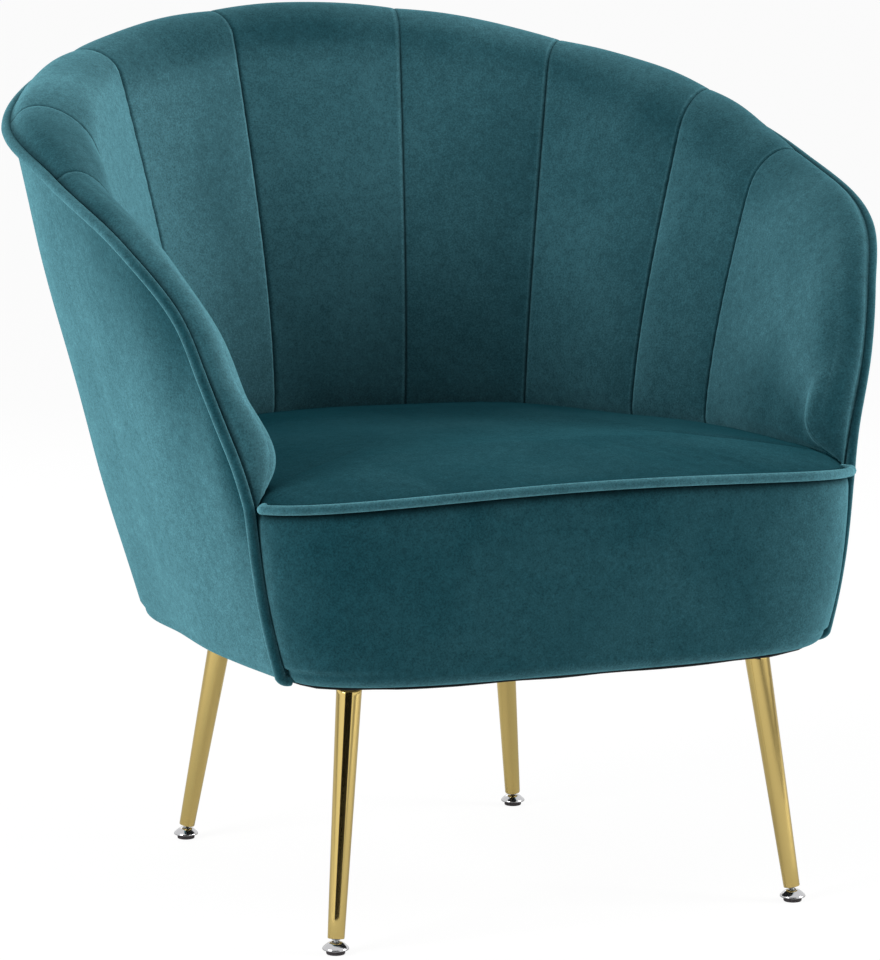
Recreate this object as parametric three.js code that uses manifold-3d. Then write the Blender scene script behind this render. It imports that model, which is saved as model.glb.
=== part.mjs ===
// Barrel chair with a scalloped channel back, a tight crowned seat and four splayed tapered metal legs.
// Millimetres, +Z up, the front of the chair faces -Y, and the floor is z = 0.
import * as THREE from 'three';
import { mergeVertices } from 'three/addons/utils/BufferGeometryUtils.js';
import Module from 'manifold-3d';

const wasm = await Module();
wasm.setup();

// Driving sizes: heights, from the floor up
const coverBottomHeight = 247;
const apronHeight = 161;
const seatEdgeRise = 19;
const backHeight = 389;

// Driving sizes in plan: the seat, and how far the shell stands out from it
const seatHalfWidth = 300;
const seatBackReach = 241;
const sideFrontReach = 258;
const rimOverhang = 95;
const backOverhang = 111;
const apronBow = 80;
const baseTuck = 14;
const baseBackSet = 27;
const baseCornerSet = 5;

// Sizes that follow
const seatWeltEndHeight = coverBottomHeight + apronHeight;
const seatEdgeHeight = seatWeltEndHeight + seatEdgeRise;
const rimHeight = seatEdgeHeight + backHeight;
const backReach = seatBackReach + backOverhang;
const frontReach = sideFrontReach + apronBow;
const baseHalfWidth = seatHalfWidth - baseTuck;
const baseBackReach = seatBackReach + baseBackSet;
const baseCornerReach = sideFrontReach + baseCornerSet;

// Seat sizes
const seatCrown = 11;
const seatWeltRise = 12;
const seatDepthThickness = 58;
const seatLipThickness = 4;
const seatDrawIn = 16;
const seatFootInset = 30;
const seatTuck = 3;
const seatGap = 1;

// Padding, covers and welts
const channelThickness = 21;
const channelCrown = 6;
const rollHeightShare = 0.34;
const lumbarBulge = 13;
const seamGap = 0.4;
const coverThickness = 4;
const coverBulge = 6;
const hemRadius = 10;
const hemTurn = 22;
const apronThickness = 10;
const apronHemRadius = 14;
const apronHemTurn = 11;
const weltDiameter = 9;
const weltGap = 0.6;

// Shapes of the padding, as powers and shares
const rollPaddingShare = 0.3;
const rollHandleShare = 1.38;
const rollFadeLength = 150;
const faceTopShare = 0.97;
const lumbarPower = 0.7;
const crownPower = 2.6;
const rollEndShare = 0.9;
const seatCrownPower = 3.2;
const crownRingShares = [0.96, 0.9, 0.78, 0.6, 0.35];
const weltRiseShares = [0, 0.25, 0.5, 0.75];
const apronStepShare = 0.02;
const stationStepShare = 0.01;
const apronLean = 4;
const apronEdgeShare = 0.992;

const sheetSteps = 30;
const sheetFrontSteps = 12;

// Timber frame
const fitGap = 0.4;
const railThickness = 26;
const frontRailThickness = 22;
const rearRailShare = 0.3;
const sideRailShare = 0.9;
const railButtShare = 0.0015;
const boardThickness = 8;
const boardTopShare = 0.93;
const boardGap = 0.8;
const boardLean = 8;
const boardSkirt = 42;
const armBoardShare = 0.8;
const topRailShare = 0.9;
const topRailWidth = 20;
const topRailHeight = 16;
const topRailInset = 7;
const topRailEndGap = 6;
const topRailDrop = 1;
const topRailLeanShare = 0.3;
const frontPostShare = 0.925;
const frontPostWidthShare = 0.055;
const frontPostDrop = 24;
const frontPostThickness = 15;
const backPostShare = 0.2;
const backPostWidthShare = 0.045;
const postFoot = 11;
const postGap = 1.8;
const blockHeightShare = 0.4;
const blockHalfWidth = 35;
const blockHalfDepth = 34;
const frontBlockChamferX = 31;
const frontBlockChamferY = 32;
const rearBlockChamferX = 42;
const rearBlockChamferY = 34;

// Springs and sheets
const springWire = 3.8;
const springArch = 9;
const springWidth = 44;
const springSpacing = 96;
const springFrontShare = 0.6;
const springEndInset = 24;
const feltThickness = 5;
const feltInset = 34;
const dustThickness = 1.2;
const dustInset = 14;
const dustHoleGap = 1.5;

// Legs and their fixings
const legTipDiameter = 15.5;
const legTopDiameter = 24;
const legTipHeight = 14;
const legTipRound = 1;
const legBoltDepth = 28;
const studDiameter = 8;
const studLength = 26;
const boreGap = 0.35;
const nutRise = 14;
const nutFlangeDiameter = 20;
const nutFlangeThickness = 1.6;
const nutBarrelDiameter = 10.4;
const nutBarrelLength = 9;
const frontLegInsetX = 76.5;
const frontLegInsetY = 8;
const frontLeanXShare = 0.1155;
const frontLeanYShare = 0.1214;
const rearLegInsetX = 134.3;
const rearLegInsetY = 94;
const rearLeanXShare = 0.1356;
const rearLeanYShare = -0.1511;

// Glides
const padDiameter = 17.4;
const padHeight = 4.2;
const padRound = 1;
const bellDiameter = 24.4;
const bellTop = 11.6;
const bellLip = 1.2;
const bellShoulderShare = 0.9;
const bellShoulderRiseShare = 0.5;
const bellCrownShare = 0.6;
const ballHeight = 8.7;
const ballDiameter = 6.2;
const neckDiameter = 4;
const mouthGap = 1;
const studShoulder = 4.3;

// Mesh fineness, as counts
const legSides = 20;
const boltSides = 14;
const glideSides = 18;
const ballRings = 4;
const coverRows = 9;
const weltSides = 8;
const rimWeltSteps = 76;
const seatWeltSteps = 40;
const railSteps = 12;
const frontRailEndSteps = 3;
const springWaves = 8;
const springPointsPerWave = 4;
const springSides = 5;
const holeSides = 4;
const halvingSteps = 24;
const hemRows = 3;
const boardRows = 6;
const apronRows = 7;
const apronSteps = 28;
const frontSteps = 22;
const rimSteps = 44;
const channelColumns = 6;
const armColumns = 12;
const faceSteps = 5;
const rollSteps = 6;

const up = new THREE.Vector3(0, 0, 1);

// Materials
const steel = new THREE.MeshStandardMaterial({ color: 0xb4b6b8, roughness: 0.35, metalness: 1 });
const chrome = new THREE.MeshStandardMaterial({ color: 0xc8c8ca, roughness: 0.15, metalness: 1 });
const springSteel = new THREE.MeshStandardMaterial({ color: 0x55585c, roughness: 0.5, metalness: 1 });
const rubber = new THREE.MeshStandardMaterial({ color: 0x3a3538, roughness: 0.9, metalness: 0 });
const beech = new THREE.MeshStandardMaterial({ color: 0xc79a67, roughness: 0.7, metalness: 0 });
const plywood = new THREE.MeshStandardMaterial({ color: 0xb98d5c, roughness: 0.75, metalness: 0 });
const felt = new THREE.MeshStandardMaterial({ color: 0x8a8782, roughness: 1, metalness: 0 });
const dustCloth = new THREE.MeshStandardMaterial({ color: 0x16181a, roughness: 1, metalness: 0 });
const gold = new THREE.MeshStandardMaterial({ color: 0xd8c07c, roughness: 0.2, metalness: 1 });
const velvet = new THREE.MeshStandardMaterial({ color: 0x2a626c, roughness: 0.85, metalness: 0 });
const group = new THREE.Group();

function point(x, y, z) {
  return new THREE.Vector3(x, y, z);
}

// A mesh from shared vertices and triangles, added to the chair under its name.
function addSolid(name, positions, triangles, material) {
  const geometry = new THREE.BufferGeometry();
  geometry.setAttribute('position', new THREE.Float32BufferAttribute(positions.flatMap((p) => [p.x, p.y, p.z]), 3));
  geometry.setIndex(triangles.flat());
  geometry.computeVertexNormals();
  const mesh = new THREE.Mesh(geometry, material);
  mesh.name = name;
  group.add(mesh);
  return mesh;
}

// Signed volume of a closed list of triangles, used to turn every face outwards.
function signedVolume(positions, triangles) {
  let volume = 0;
  for (const [a, b, c] of triangles) {
    volume += positions[a].dot(positions[b].clone().cross(positions[c]));
  }
  return volume;
}

function facingOut(positions, triangles) {
  return signedVolume(positions, triangles) < 0 ? triangles.map(([a, b, c]) => [a, c, b]) : triangles;
}

// A closed sheet with thickness: a front grid, a back grid and the four walls that join them.
function sheetSolid(name, rows, columns, front, back, material) {
  const positions = [];
  const triangles = [];
  const stride = columns + 1;
  const layer = (rows + 1) * stride;
  for (const surface of [front, back]) {
    for (let i = 0; i <= rows; i += 1) {
      for (let j = 0; j <= columns; j += 1) {
        positions.push(surface(i / rows, j / columns));
      }
    }
  }
  const quad = (a, b, c, d) => triangles.push([a, b, c], [a, c, d]);
  for (let i = 0; i < rows; i += 1) {
    for (let j = 0; j < columns; j += 1) {
      const a = i * stride + j;
      quad(a, a + 1, a + stride + 1, a + stride);
      quad(layer + a, layer + a + stride, layer + a + stride + 1, layer + a + 1);
    }
    const left = i * stride;
    const right = left + columns;
    quad(left, left + stride, layer + left + stride, layer + left);
    quad(right, layer + right, layer + right + stride, right + stride);
  }
  for (let j = 0; j < columns; j += 1) {
    const far = rows * stride + j;
    quad(j + 1, j, layer + j, layer + j + 1);
    quad(far, far + 1, layer + far + 1, layer + far);
  }
  return addSolid(name, positions, facingOut(positions, triangles), material);
}

// The shell is drawn by station: 0 is the middle of the back, 1 is the seat's front corner.
// The channels are sewn together at four of the stations on each side.
const stationShares = [0, 0.1, 0.265, 0.435, 0.597, 0.746, 0.828, 0.889, 0.952, 1];
const seamShares = stationShares.slice(1, 5);

// Outer rim, where the cover is sewn to the channels
const rimXShares = [0, 0.267, 0.7176, 1.0205, 1.0821, 1.0829, 1.0386, 1.0295, 1.01, 1.0033];
const rimYShares = [1, 0.997, 0.894, 0.663, 0.41, 0.171, 0.077, 0.04, 0.016, 0];
const rimZShares = [1, 0.985, 0.898, 0.782, 0.677, 0.551, 0.409, 0.267, 0.115, 0];

// Inner edge of the rolled top, where the face of a channel starts to roll over
const innerXShares = [0, 0.2351, 0.6122, 0.8491, 0.9351, 0.9479, 0.9291, 0.9194, 0.882, 0.9813];
const innerYShares = [0.904, 0.897, 0.81, 0.584, 0.408, 0.203, 0.106, 0.066, 0.042, 0.001];
const innerZShares = [0.975, 0.962, 0.883, 0.735, 0.604, 0.483, 0.355, 0.225, 0.095, 0.02];

// Line where the seat meets the channels
const seatXShares = [0, 0.243, 0.623, 0.82, 0.94, 0.965, 0.95, 0.937, 0.92, 0.993];
const seatYShares = [1, 0.99, 0.899, 0.651, 0.475, 0.25, 0.165, 0.085, 0.022, 0.001];
const seatDropShares = [0, 0, 0, 0, 0, 0, 0, 0, 0.15, 0.6];

// Bottom edge of the outer cover
const baseXShares = [0, 0.262, 0.647, 0.902, 0.951, 0.985, 0.987, 0.98, 0.972, 0.958];
const baseYShares = [1, 0.989, 0.902, 0.735, 0.512, 0.336, 0.206, 0.113, 0.048, 0];

const frontCornerPower = 4;
const frontCornerRoot = 0.55;

// A smooth curve through a list of places, read by station on either side of the chair.
function stationCurve(places) {
  const both = [...places.slice(1).reverse().map((p) => point(-p.x, p.y, p.z)), ...places];
  const keys = [...stationShares.slice(1).reverse().map((s) => -s), ...stationShares];
  const curve = new THREE.CatmullRomCurve3(both, false, 'centripetal');
  const last = both.length - 1;
  return (station) => {
    const s = THREE.MathUtils.clamp(station, -1, 1);
    let k = 0;
    while (k < last - 1 && keys[k + 1] < s) {
      k += 1;
    }
    const within = (s - keys[k]) / (keys[k + 1] - keys[k]);
    return curve.getPoint((k + within) / last);
  };
}

function places(xShares, yShares, zAt, halfWidthAt, front, back) {
  return xShares.map((xShare, k) => point(halfWidthAt(k) * xShare, yShares[k] * (back + front) - front, zAt(k)));
}

const rimRise = rimHeight - seatWeltEndHeight;
const rimAt = stationCurve(places(rimXShares, rimYShares, (k) => seatWeltEndHeight + rimRise * rimZShares[k],
  (k) => seatHalfWidth + rimOverhang * rimZShares[k], sideFrontReach, backReach));
const innerAt = stationCurve(places(innerXShares, innerYShares, (k) => seatWeltEndHeight + rimRise * innerZShares[k],
  (k) => seatHalfWidth + rimOverhang * innerZShares[k], sideFrontReach, backReach));
const seatDrop = seatEdgeHeight - seatWeltEndHeight;
const seatAt = stationCurve(places(seatXShares, seatYShares,
  (k) => seatEdgeHeight - seatDrop * seatDropShares[k], () => seatHalfWidth, sideFrontReach, seatBackReach));
const baseAt = stationCurve(places(baseXShares, baseYShares,
  () => coverBottomHeight, () => baseHalfWidth, baseCornerReach, baseBackReach));

// Horizontal direction that points out of the shell at a station.
function outwardAt(station) {
  const middle = THREE.MathUtils.clamp(station, -1, 1);
  const along = baseAt(middle + stationStepShare).sub(baseAt(middle - stationStepShare));
  return up.clone().cross(along).normalize();
}

// Chord of the rolled top, from the outer rim to the inner edge, and the direction in which it rises.
function rollAt(station) {
  const rim = rimAt(station);
  const inner = innerAt(station);
  const along = rimAt(station + stationStepShare).sub(rimAt(station - stationStepShare)).normalize();
  const chord = inner.clone().sub(rim);
  const lift = chord.clone().cross(along).normalize();
  const middle = inner.clone().add(rim).multiplyScalar(0.5);
  return { middle, chord, lift, height: chord.length() * rollHeightShare };
}

function flatFaceAt(station, along) {
  const inner = innerAt(station);
  const seat = seatAt(station);
  const rise = inner.distanceTo(seat) / rimRise;
  const bulge = lumbarBulge * rise * Math.sin(Math.PI * along ** lumbarPower);
  return seat.lerp(inner, along).addScaledVector(outwardAt(station), -bulge);
}

// The rolled top leaves the face without a crease and comes down to the rim square to its chord.
function rolledFaceAt(station, share) {
  const { lift, height } = rollAt(station);
  const inner = innerAt(station);
  const rim = rimAt(station);
  const fade = Math.min(1, inner.distanceTo(seatAt(station)) / rollFadeLength);
  const climb = inner.clone().sub(flatFaceAt(station, faceTopShare)).normalize();
  const handle = height * rollHandleShare;
  const start = lift.clone().lerp(climb, fade).normalize().multiplyScalar(handle);
  const end = lift.clone().multiplyScalar(handle);
  return new THREE.CubicBezierCurve3(inner, start.add(inner), end.add(rim), rim).getPoint(share);
}

// Padded face of the shell: along is 0 at the seat, 1 where the roll starts and 2 at the outer rim.
// A shrink below 1 gives the hidden side of the padding inside the roll.
function faceAt(station, along, shrink = 1) {
  if (along <= 1) {
    return flatFaceAt(station, along);
  }
  const { middle } = rollAt(station);
  return rolledFaceAt(station, along - 1).sub(middle).multiplyScalar(shrink).add(middle);
}

function channelDepthAt(station) {
  return Math.min(channelThickness, rollAt(station).chord.length() * rollPaddingShare);
}

function channelBackAt(station, along) {
  const depth = channelDepthAt(station);
  if (along <= 1) {
    return faceAt(station, along).addScaledVector(outwardAt(station), depth);
  }
  const shrink = 1 - 2 * depth / rollAt(station).chord.length();
  return faceAt(station, along, shrink);
}

// Stations of the columns between two seams, closer together near the seams.
function columnsBetween(from, to, count) {
  return Array.from({ length: count + 1 }, (_, k) => from + (to - from) * (1 - Math.cos(Math.PI * k / count)) / 2);
}

// One channel between two seams: plump in the middle, drawn in at the seams.
function addChannel(name, from, to, count) {
  const columns = columnsBetween(from, to, count);
  const rows = faceSteps + rollSteps;
  const alongFor = (share) => {
    const row = Math.round(share * rows);
    return row <= faceSteps ? row / faceSteps : 1 + rollEndShare * (row - faceSteps) / rollSteps;
  };
  const stationFor = (across, along) => {
    const column = columns[Math.round(across * count)];
    const reach = faceAt(column + stationStepShare, along).distanceTo(faceAt(column - stationStepShare, along));
    const spread = (column - from) / (to - from);
    return column + seamGap * stationStepShare / reach * (1 - 2 * spread);
  };
  const front = (share, across) => {
    const along = alongFor(share);
    const station = stationFor(across, along);
    const place = faceAt(station, along);
    const spread = (station - from) / (to - from);
    const plump = channelCrown * (1 - Math.abs(2 * spread - 1) ** crownPower);
    if (along <= 1) {
      return place.addScaledVector(outwardAt(station), -plump);
    }
    const away = place.clone().sub(rollAt(station).middle).normalize();
    return place.addScaledVector(away, plump * (1 - (along - 1) ** 2));
  };
  const back = (share, across) => {
    const along = alongFor(share);
    return channelBackAt(stationFor(across, along), along);
  };
  sheetSolid(name, rows, count, front, back, velvet);
}

const channelEdges = [...seamShares.slice().reverse().map((s) => -s), ...seamShares];
const channelNames = ['channel_left_3', 'channel_left_2', 'channel_left_1', 'channel_middle',
  'channel_right_1', 'channel_right_2', 'channel_right_3'];
channelNames.forEach((name, k) => addChannel(name, channelEdges[k], channelEdges[k + 1], channelColumns));
addChannel('arm_panel_left', -1, channelEdges[0], armColumns);
addChannel('arm_panel_right', channelEdges[channelEdges.length - 1], 1, armColumns);

// Outer cover: rise is 0 at the bottom edge and 1 at the rim.
function coverAt(station, rise) {
  const place = baseAt(station).lerp(rimAt(station), rise);
  return place.addScaledVector(outwardAt(station), coverBulge * 4 * rise * (1 - rise));
}

// Depth is measured inwards from the outside of the cover; row 0 is the hem that is turned under the frame.
function coverLayerAt(station, row, depth) {
  const base = baseAt(station);
  const outward = outwardAt(station);
  if (row < hemRows) {
    const arcShare = Math.max(row - 1, 0) / (hemRows - 1);
    const turn = row === 0 ? hemTurn : 0;
    const angle = arcShare * Math.PI / 2;
    const reach = (hemRadius - depth) * Math.sin(angle) - hemRadius - turn;
    const lift = hemRadius - (hemRadius - depth) * Math.cos(angle);
    return base.addScaledVector(outward, reach).addScaledVector(up, lift);
  }
  const startRise = hemRadius / (rimAt(station).z - coverBottomHeight);
  const rise = startRise + (1 - startRise) * (row - hemRows) / (coverRows - hemRows);
  return coverAt(station, rise).addScaledVector(outward, -depth);
}

function addOuterCover() {
  const stationFor = (across) => -1 + 2 * across;
  const layer = (depth) => (share, across) => (
    coverLayerAt(stationFor(across), Math.round(share * coverRows), depth));
  sheetSolid('outer_cover', coverRows, rimSteps, layer(0), layer(coverThickness), velvet);
}
addOuterCover();

// Front apron: across runs from -1 at the left welt to 1 at the right welt.
function apronAt(across, height) {
  const rise = (height - coverBottomHeight) / (seatWeltEndHeight - coverBottomHeight);
  const corner = coverAt(1, rise);
  const share = Math.sin(across * Math.PI / 2);
  const bow = frontReach + apronLean * (1 - rise) + corner.y;
  return point(corner.x * share, corner.y - bow * (1 - share ** frontCornerPower) ** frontCornerRoot, height);
}

function apronInwardAt(across, height) {
  const along = apronAt(Math.min(across + apronStepShare, 1), height)
    .sub(apronAt(Math.max(across - apronStepShare, -1), height));
  return up.clone().cross(along).normalize();
}

function seatWeltAt(across) {
  const share = Math.sin(across * Math.PI / 2);
  return apronAt(across, seatWeltEndHeight + seatWeltRise * (1 - share * share));
}

function apronLayerAt(across, row, depth) {
  const top = seatWeltAt(across).z - weltDiameter / 2 - weltGap;
  const arcTop = coverBottomHeight + apronHemRadius;
  if (row < hemRows) {
    const arcShare = Math.max(row - 1, 0) / (hemRows - 1);
    const turn = row === 0 ? apronHemTurn : 0;
    const angle = arcShare * Math.PI / 2;
    const reach = apronHemRadius + turn - (apronHemRadius - depth) * Math.sin(angle);
    const lift = apronHemRadius - (apronHemRadius - depth) * Math.cos(angle);
    const edge = apronAt(across, coverBottomHeight);
    return edge.addScaledVector(apronInwardAt(across, coverBottomHeight), reach).addScaledVector(up, lift);
  }
  const height = arcTop + (top - arcTop) * (row - hemRows) / (apronRows - hemRows);
  return apronAt(across, height).addScaledVector(apronInwardAt(across, height), depth);
}

function addApron() {
  const layer = (depth) => (share, along) => (
    apronLayerAt(apronEdgeShare * (2 * along - 1), Math.round(share * apronRows), depth));
  sheetSolid('front_apron', apronRows, apronSteps, layer(0), layer(apronThickness), velvet);
}
addApron();

// Seat: a closed outline of the junction with the channels and the front edge.
function seatOutline() {
  const outline = [];
  for (let k = 0; k <= rimSteps; k += 1) {
    outline.push(seatAt(-1 + 2 * k / rimSteps).addScaledVector(up, -seatTuck));
  }
  for (let k = frontSteps - 1; k > 0; k -= 1) {
    outline.push(seatWeltAt(-1 + 2 * k / frontSteps));
  }
  return outline;
}

function addRings(name, rings, low, high, material) {
  const count = rings[0].length;
  const positions = [low, ...rings.flat(), high];
  const triangles = [];
  const at = (ring, k) => 1 + ring * count + (k % count);
  for (let k = 0; k < count; k += 1) {
    triangles.push([0, at(0, k + 1), at(0, k)]);
    triangles.push([positions.length - 1, at(rings.length - 1, k), at(rings.length - 1, k + 1)]);
    for (let r = 0; r < rings.length - 1; r += 1) {
      triangles.push([at(r, k), at(r, k + 1), at(r + 1, k + 1)], [at(r, k), at(r + 1, k + 1), at(r + 1, k)]);
    }
  }
  return addSolid(name, positions, facingOut(positions, triangles), material);
}

function addSeat() {
  const outline = seatOutline();
  const centre = point(0, (seatBackReach - frontReach) / 2, 0);
  const ring = (inset, heightAt) => outline.map((p) => {
    const flat = point(p.x, p.y, 0).sub(centre);
    const length = flat.length();
    return flat.multiplyScalar((length - inset) / length).add(centre).setZ(heightAt(p));
  });
  const crownRing = (share) => outline.map((p) => {
    const flat = point(p.x, p.y, 0).sub(centre).multiplyScalar(share).add(centre);
    return flat.setZ(THREE.MathUtils.lerp(seatEdgeHeight + seatCrown, p.z, share ** seatCrownPower));
  });
  const bottom = seatEdgeHeight - seatDepthThickness;
  const under = (p) => p.z - seatLipThickness;
  const rings = [
    ring(seatFootInset, () => bottom),
    ring(seatDrawIn, under),
    ring(seatGap, under),
    ring(seatGap, (p) => p.z),
    ...crownRingShares.map(crownRing),
  ];
  addRings('seat_cushion', rings, centre.clone().setZ(bottom), centre.clone().setZ(seatEdgeHeight + seatCrown), velvet);
}
addSeat();

// A round cord swept along a curve, with closed ends.
function addSweep(name, points, shape, steps, material, closed = false) {
  const path = new THREE.CatmullRomCurve3(points, closed, 'centripetal');
  const geometry = new THREE.ExtrudeGeometry(shape, { steps, bevelEnabled: false, extrudePath: path, curveSegments: 1 });
  return addGeometry(name, geometry, material);
}

function addGeometry(name, geometry, material) {
  geometry.deleteAttribute('normal');
  geometry.deleteAttribute('uv');
  const merged = mergeVertices(geometry);
  merged.computeVertexNormals();
  const mesh = new THREE.Mesh(merged, material);
  mesh.name = name;
  group.add(mesh);
  return mesh;
}

function roundShape(diameter, sides) {
  const shape = new THREE.Shape();
  for (let k = 0; k < sides; k += 1) {
    const angle = 2 * Math.PI * k / sides;
    const x = diameter / 2 * Math.cos(angle);
    const y = diameter / 2 * Math.sin(angle);
    if (k === 0) {
      shape.moveTo(x, y);
    } else {
      shape.lineTo(x, y);
    }
  }
  shape.closePath();
  return shape;
}

// Direction straight out of the cover's surface.
function coverNormalAt(station, rise) {
  const along = coverAt(station + stationStepShare, rise).sub(coverAt(station - stationStepShare, rise));
  const upwards = coverAt(station, rise + stationStepShare).sub(coverAt(station, rise - stationStepShare));
  return upwards.cross(along).normalize();
}

function addRimWelt() {
  const place = (station, rise) => {
    const outward = outwardAt(station);
    const standOff = (weltDiameter / 2 + weltGap) / outward.dot(coverNormalAt(station, rise));
    return coverAt(station, rise).addScaledVector(outward, standOff);
  };
  const points = weltRiseShares.map((rise) => place(-1, rise));
  for (let k = 0; k <= rimSteps; k += 1) {
    points.push(place(-1 + 2 * k / rimSteps, 1));
  }
  points.push(...weltRiseShares.slice().reverse().map((rise) => place(1, rise)));
  addSweep('rim_welt', points, roundShape(weltDiameter, weltSides), rimWeltSteps, velvet);
}
addRimWelt();

function addSeatWelt() {
  const standOff = weltDiameter / 2 + fitGap - seatGap;
  const points = [];
  for (let k = 1; k < frontSteps; k += 1) {
    const across = -1 + 2 * k / frontSteps;
    const place = seatWeltAt(across);
    points.push(place.addScaledVector(apronInwardAt(across, place.z), -standOff));
  }
  addSweep('seat_welt', points, roundShape(weltDiameter, weltSides), seatWeltSteps, velvet);
}
addSeatWelt();

// Timber of the seat frame: a layer that follows the cover's bottom edge between two stations.
function addRail(name, from, to) {
  const stationFor = (share) => from + (to - from) * share;
  const layer = (inset) => (share, rise) => (
    baseAt(stationFor(share)).addScaledVector(outwardAt(stationFor(share)), -inset)
      .setZ(railBottom + (railTop - railBottom) * rise));
  const outer = coverThickness + fitGap;
  sheetSolid(name, railSteps, 1, layer(outer), layer(outer + railThickness), beech);
}

const springTop = seatEdgeHeight - seatDepthThickness - feltThickness - 2 * fitGap;
const railTop = springTop - springArch - springWire - fitGap;
const frameBottom = coverBottomHeight + coverThickness + fitGap;
const railBottom = coverBottomHeight + hemRadius + fitGap;
addRail('rear_rail', -rearRailShare, rearRailShare);
addRail('side_rail_left', -sideRailShare, -rearRailShare - railButtShare);
addRail('side_rail_right', rearRailShare + railButtShare, sideRailShare);

function addFrontRail() {
  const bottom = coverBottomHeight + apronHemRadius + fitGap;
  const steps = apronSteps - 2 * frontRailEndSteps;
  const layer = (depth) => (share, rise) => {
    const across = apronEdgeShare * (2 * (frontRailEndSteps + steps * share) / apronSteps - 1);
    const height = bottom + (railTop - bottom) * rise;
    return apronAt(across, bottom).addScaledVector(apronInwardAt(across, bottom), depth).setZ(height);
  };
  const outer = apronThickness + apronLean + fitGap;
  sheetSolid('front_rail', steps, 1, layer(outer), layer(outer + frontRailThickness), beech);
}
addFrontRail();

// Bent boards behind the channels. Their lower edge leans in below the seat line.
function boardAt(station, row, depth) {
  const outward = outwardAt(station);
  const along = Math.min(Math.max(row - 1, 0) / faceSteps, boardTopShare);
  const place = channelBackAt(station, along).addScaledVector(outward, boardGap + depth);
  if (row === 0) {
    return place.addScaledVector(outward, -boardLean).addScaledVector(up, -boardSkirt);
  }
  return place;
}

function addBoard(name, stations) {
  const layer = (depth) => (share, across) => (
    boardAt(stations[Math.round(across * (stations.length - 1))], Math.round(share * boardRows), depth));
  sheetSolid(name, boardRows, stations.length - 1, layer(0), layer(boardThickness), plywood);
}

function boardStations(from, to) {
  const edges = [...channelEdges.slice(0, -1).map((edge, k) => [edge, channelEdges[k + 1], channelColumns]),
    [-1, channelEdges[0], armColumns], [channelEdges[channelEdges.length - 1], 1, armColumns]];
  const all = edges.flatMap(([a, b, count]) => columnsBetween(a, b, count));
  const inside = all.filter((s) => s > from + railButtShare && s < to - railButtShare).sort((a, b) => a - b);
  const apart = inside.filter((s, k) => k === 0 || s - inside[k - 1] > railButtShare / 2);
  return [from + railButtShare / 2, ...apart, to - railButtShare / 2];
}
addBoard('back_board', boardStations(-seamShares[1], seamShares[1]));
addBoard('arm_board_left', boardStations(-armBoardShare, -seamShares[1]));
addBoard('arm_board_right', boardStations(seamShares[1], armBoardShare));

// Rail inside the rolled top, from one arm round the back to the other.
function addTopRail() {
  const stationFor = (share) => topRailShare * (2 * share - 1);
  const layer = (drop) => (share, across) => {
    const station = stationFor(share);
    const { chord } = rollAt(station);
    const length = chord.length();
    const width = Math.min(topRailWidth, length - channelDepthAt(station) - topRailInset - topRailEndGap);
    const reach = topRailInset + width * across;
    const lean = -topRailLeanShare * drop;
    return rimAt(station).addScaledVector(chord, reach / length).addScaledVector(up, -drop)
      .addScaledVector(outwardAt(station), lean);
  };
  sheetSolid('top_rail', rimSteps, 1, layer(topRailDrop), layer(topRailDrop + topRailHeight), beech);
}
addTopRail();

// Upright that stands on the seat rail and fills the space between the board and the cover.
function addPost(name, station, width) {
  const rows = boardRows + 1;
  const stationFor = (across) => station + width * (across - 1 / 2);
  const inner = (share, across) => {
    const place = stationFor(across);
    const row = Math.round(share * rows);
    if (row === 0) {
      const inset = coverThickness + fitGap + postFoot;
      return baseAt(place).addScaledVector(outwardAt(place), -inset).setZ(railTop + fitGap);
    }
    return boardAt(place, row - 1, boardThickness + fitGap);
  };
  const outer = (share, across) => {
    const place = stationFor(across);
    const { z } = inner(share, across);
    const rise = (z - coverBottomHeight) / (rimAt(place).z - coverBottomHeight);
    const row = Math.round(share * rows);
    const edge = row === 0 ? baseAt(place) : coverAt(place, rise);
    return edge.addScaledVector(outwardAt(place), -coverThickness - postGap).setZ(z);
  };
  sheetSolid(name, rows, 2, inner, outer, beech);
}

function addFrontPost(name, side) {
  const layer = (depth) => (share, rise) => {
    const station = side * (frontPostShare + frontPostWidthShare * share);
    const height = railBottom + (seatWeltEndHeight - frontPostDrop - railBottom) * rise;
    const coverRise = (height - coverBottomHeight) / (rimAt(station).z - coverBottomHeight);
    const place = rise === 0 ? baseAt(station) : coverAt(station, coverRise);
    return place.addScaledVector(outwardAt(station), -coverThickness - 2 * fitGap - depth).setZ(height);
  };
  sheetSolid(name, 1, 1, layer(0), layer(frontPostThickness), beech);
}

// Solid library helpers, for cuts only.
function toSolid(geometry) {
  const merged = mergeVertices(geometry);
  return new wasm.Manifold(new wasm.Mesh({
    numProp: 3,
    vertProperties: new Float32Array(merged.attributes.position.array),
    triVerts: new Uint32Array(merged.index.array),
  }));
}

function fromSolid(solid) {
  const { vertProperties, triVerts, numProp } = solid.getMesh();
  const values = [];
  for (let i = 0; i < vertProperties.length; i += numProp) {
    values.push(vertProperties[i], vertProperties[i + 1], vertProperties[i + 2]);
  }
  const geometry = new THREE.BufferGeometry();
  geometry.setAttribute('position', new THREE.Float32BufferAttribute(values, 3));
  geometry.setIndex([...triVerts]);
  return geometry;
}

function bare(geometry) {
  geometry.deleteAttribute('normal');
  geometry.deleteAttribute('uv');
  return geometry;
}

// A turned piece: pairs of radius and height, set on an axis that passes a place.
function turned(pairs, sides, place, axis) {
  const geometry = bare(new THREE.LatheGeometry(pairs.map(([r, z]) => new THREE.Vector2(r, z)), sides));
  geometry.rotateX(Math.PI / 2);
  geometry.applyQuaternion(new THREE.Quaternion().setFromUnitVectors(up, axis));
  geometry.translate(place.x, place.y, place.z);
  return geometry;
}

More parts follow.
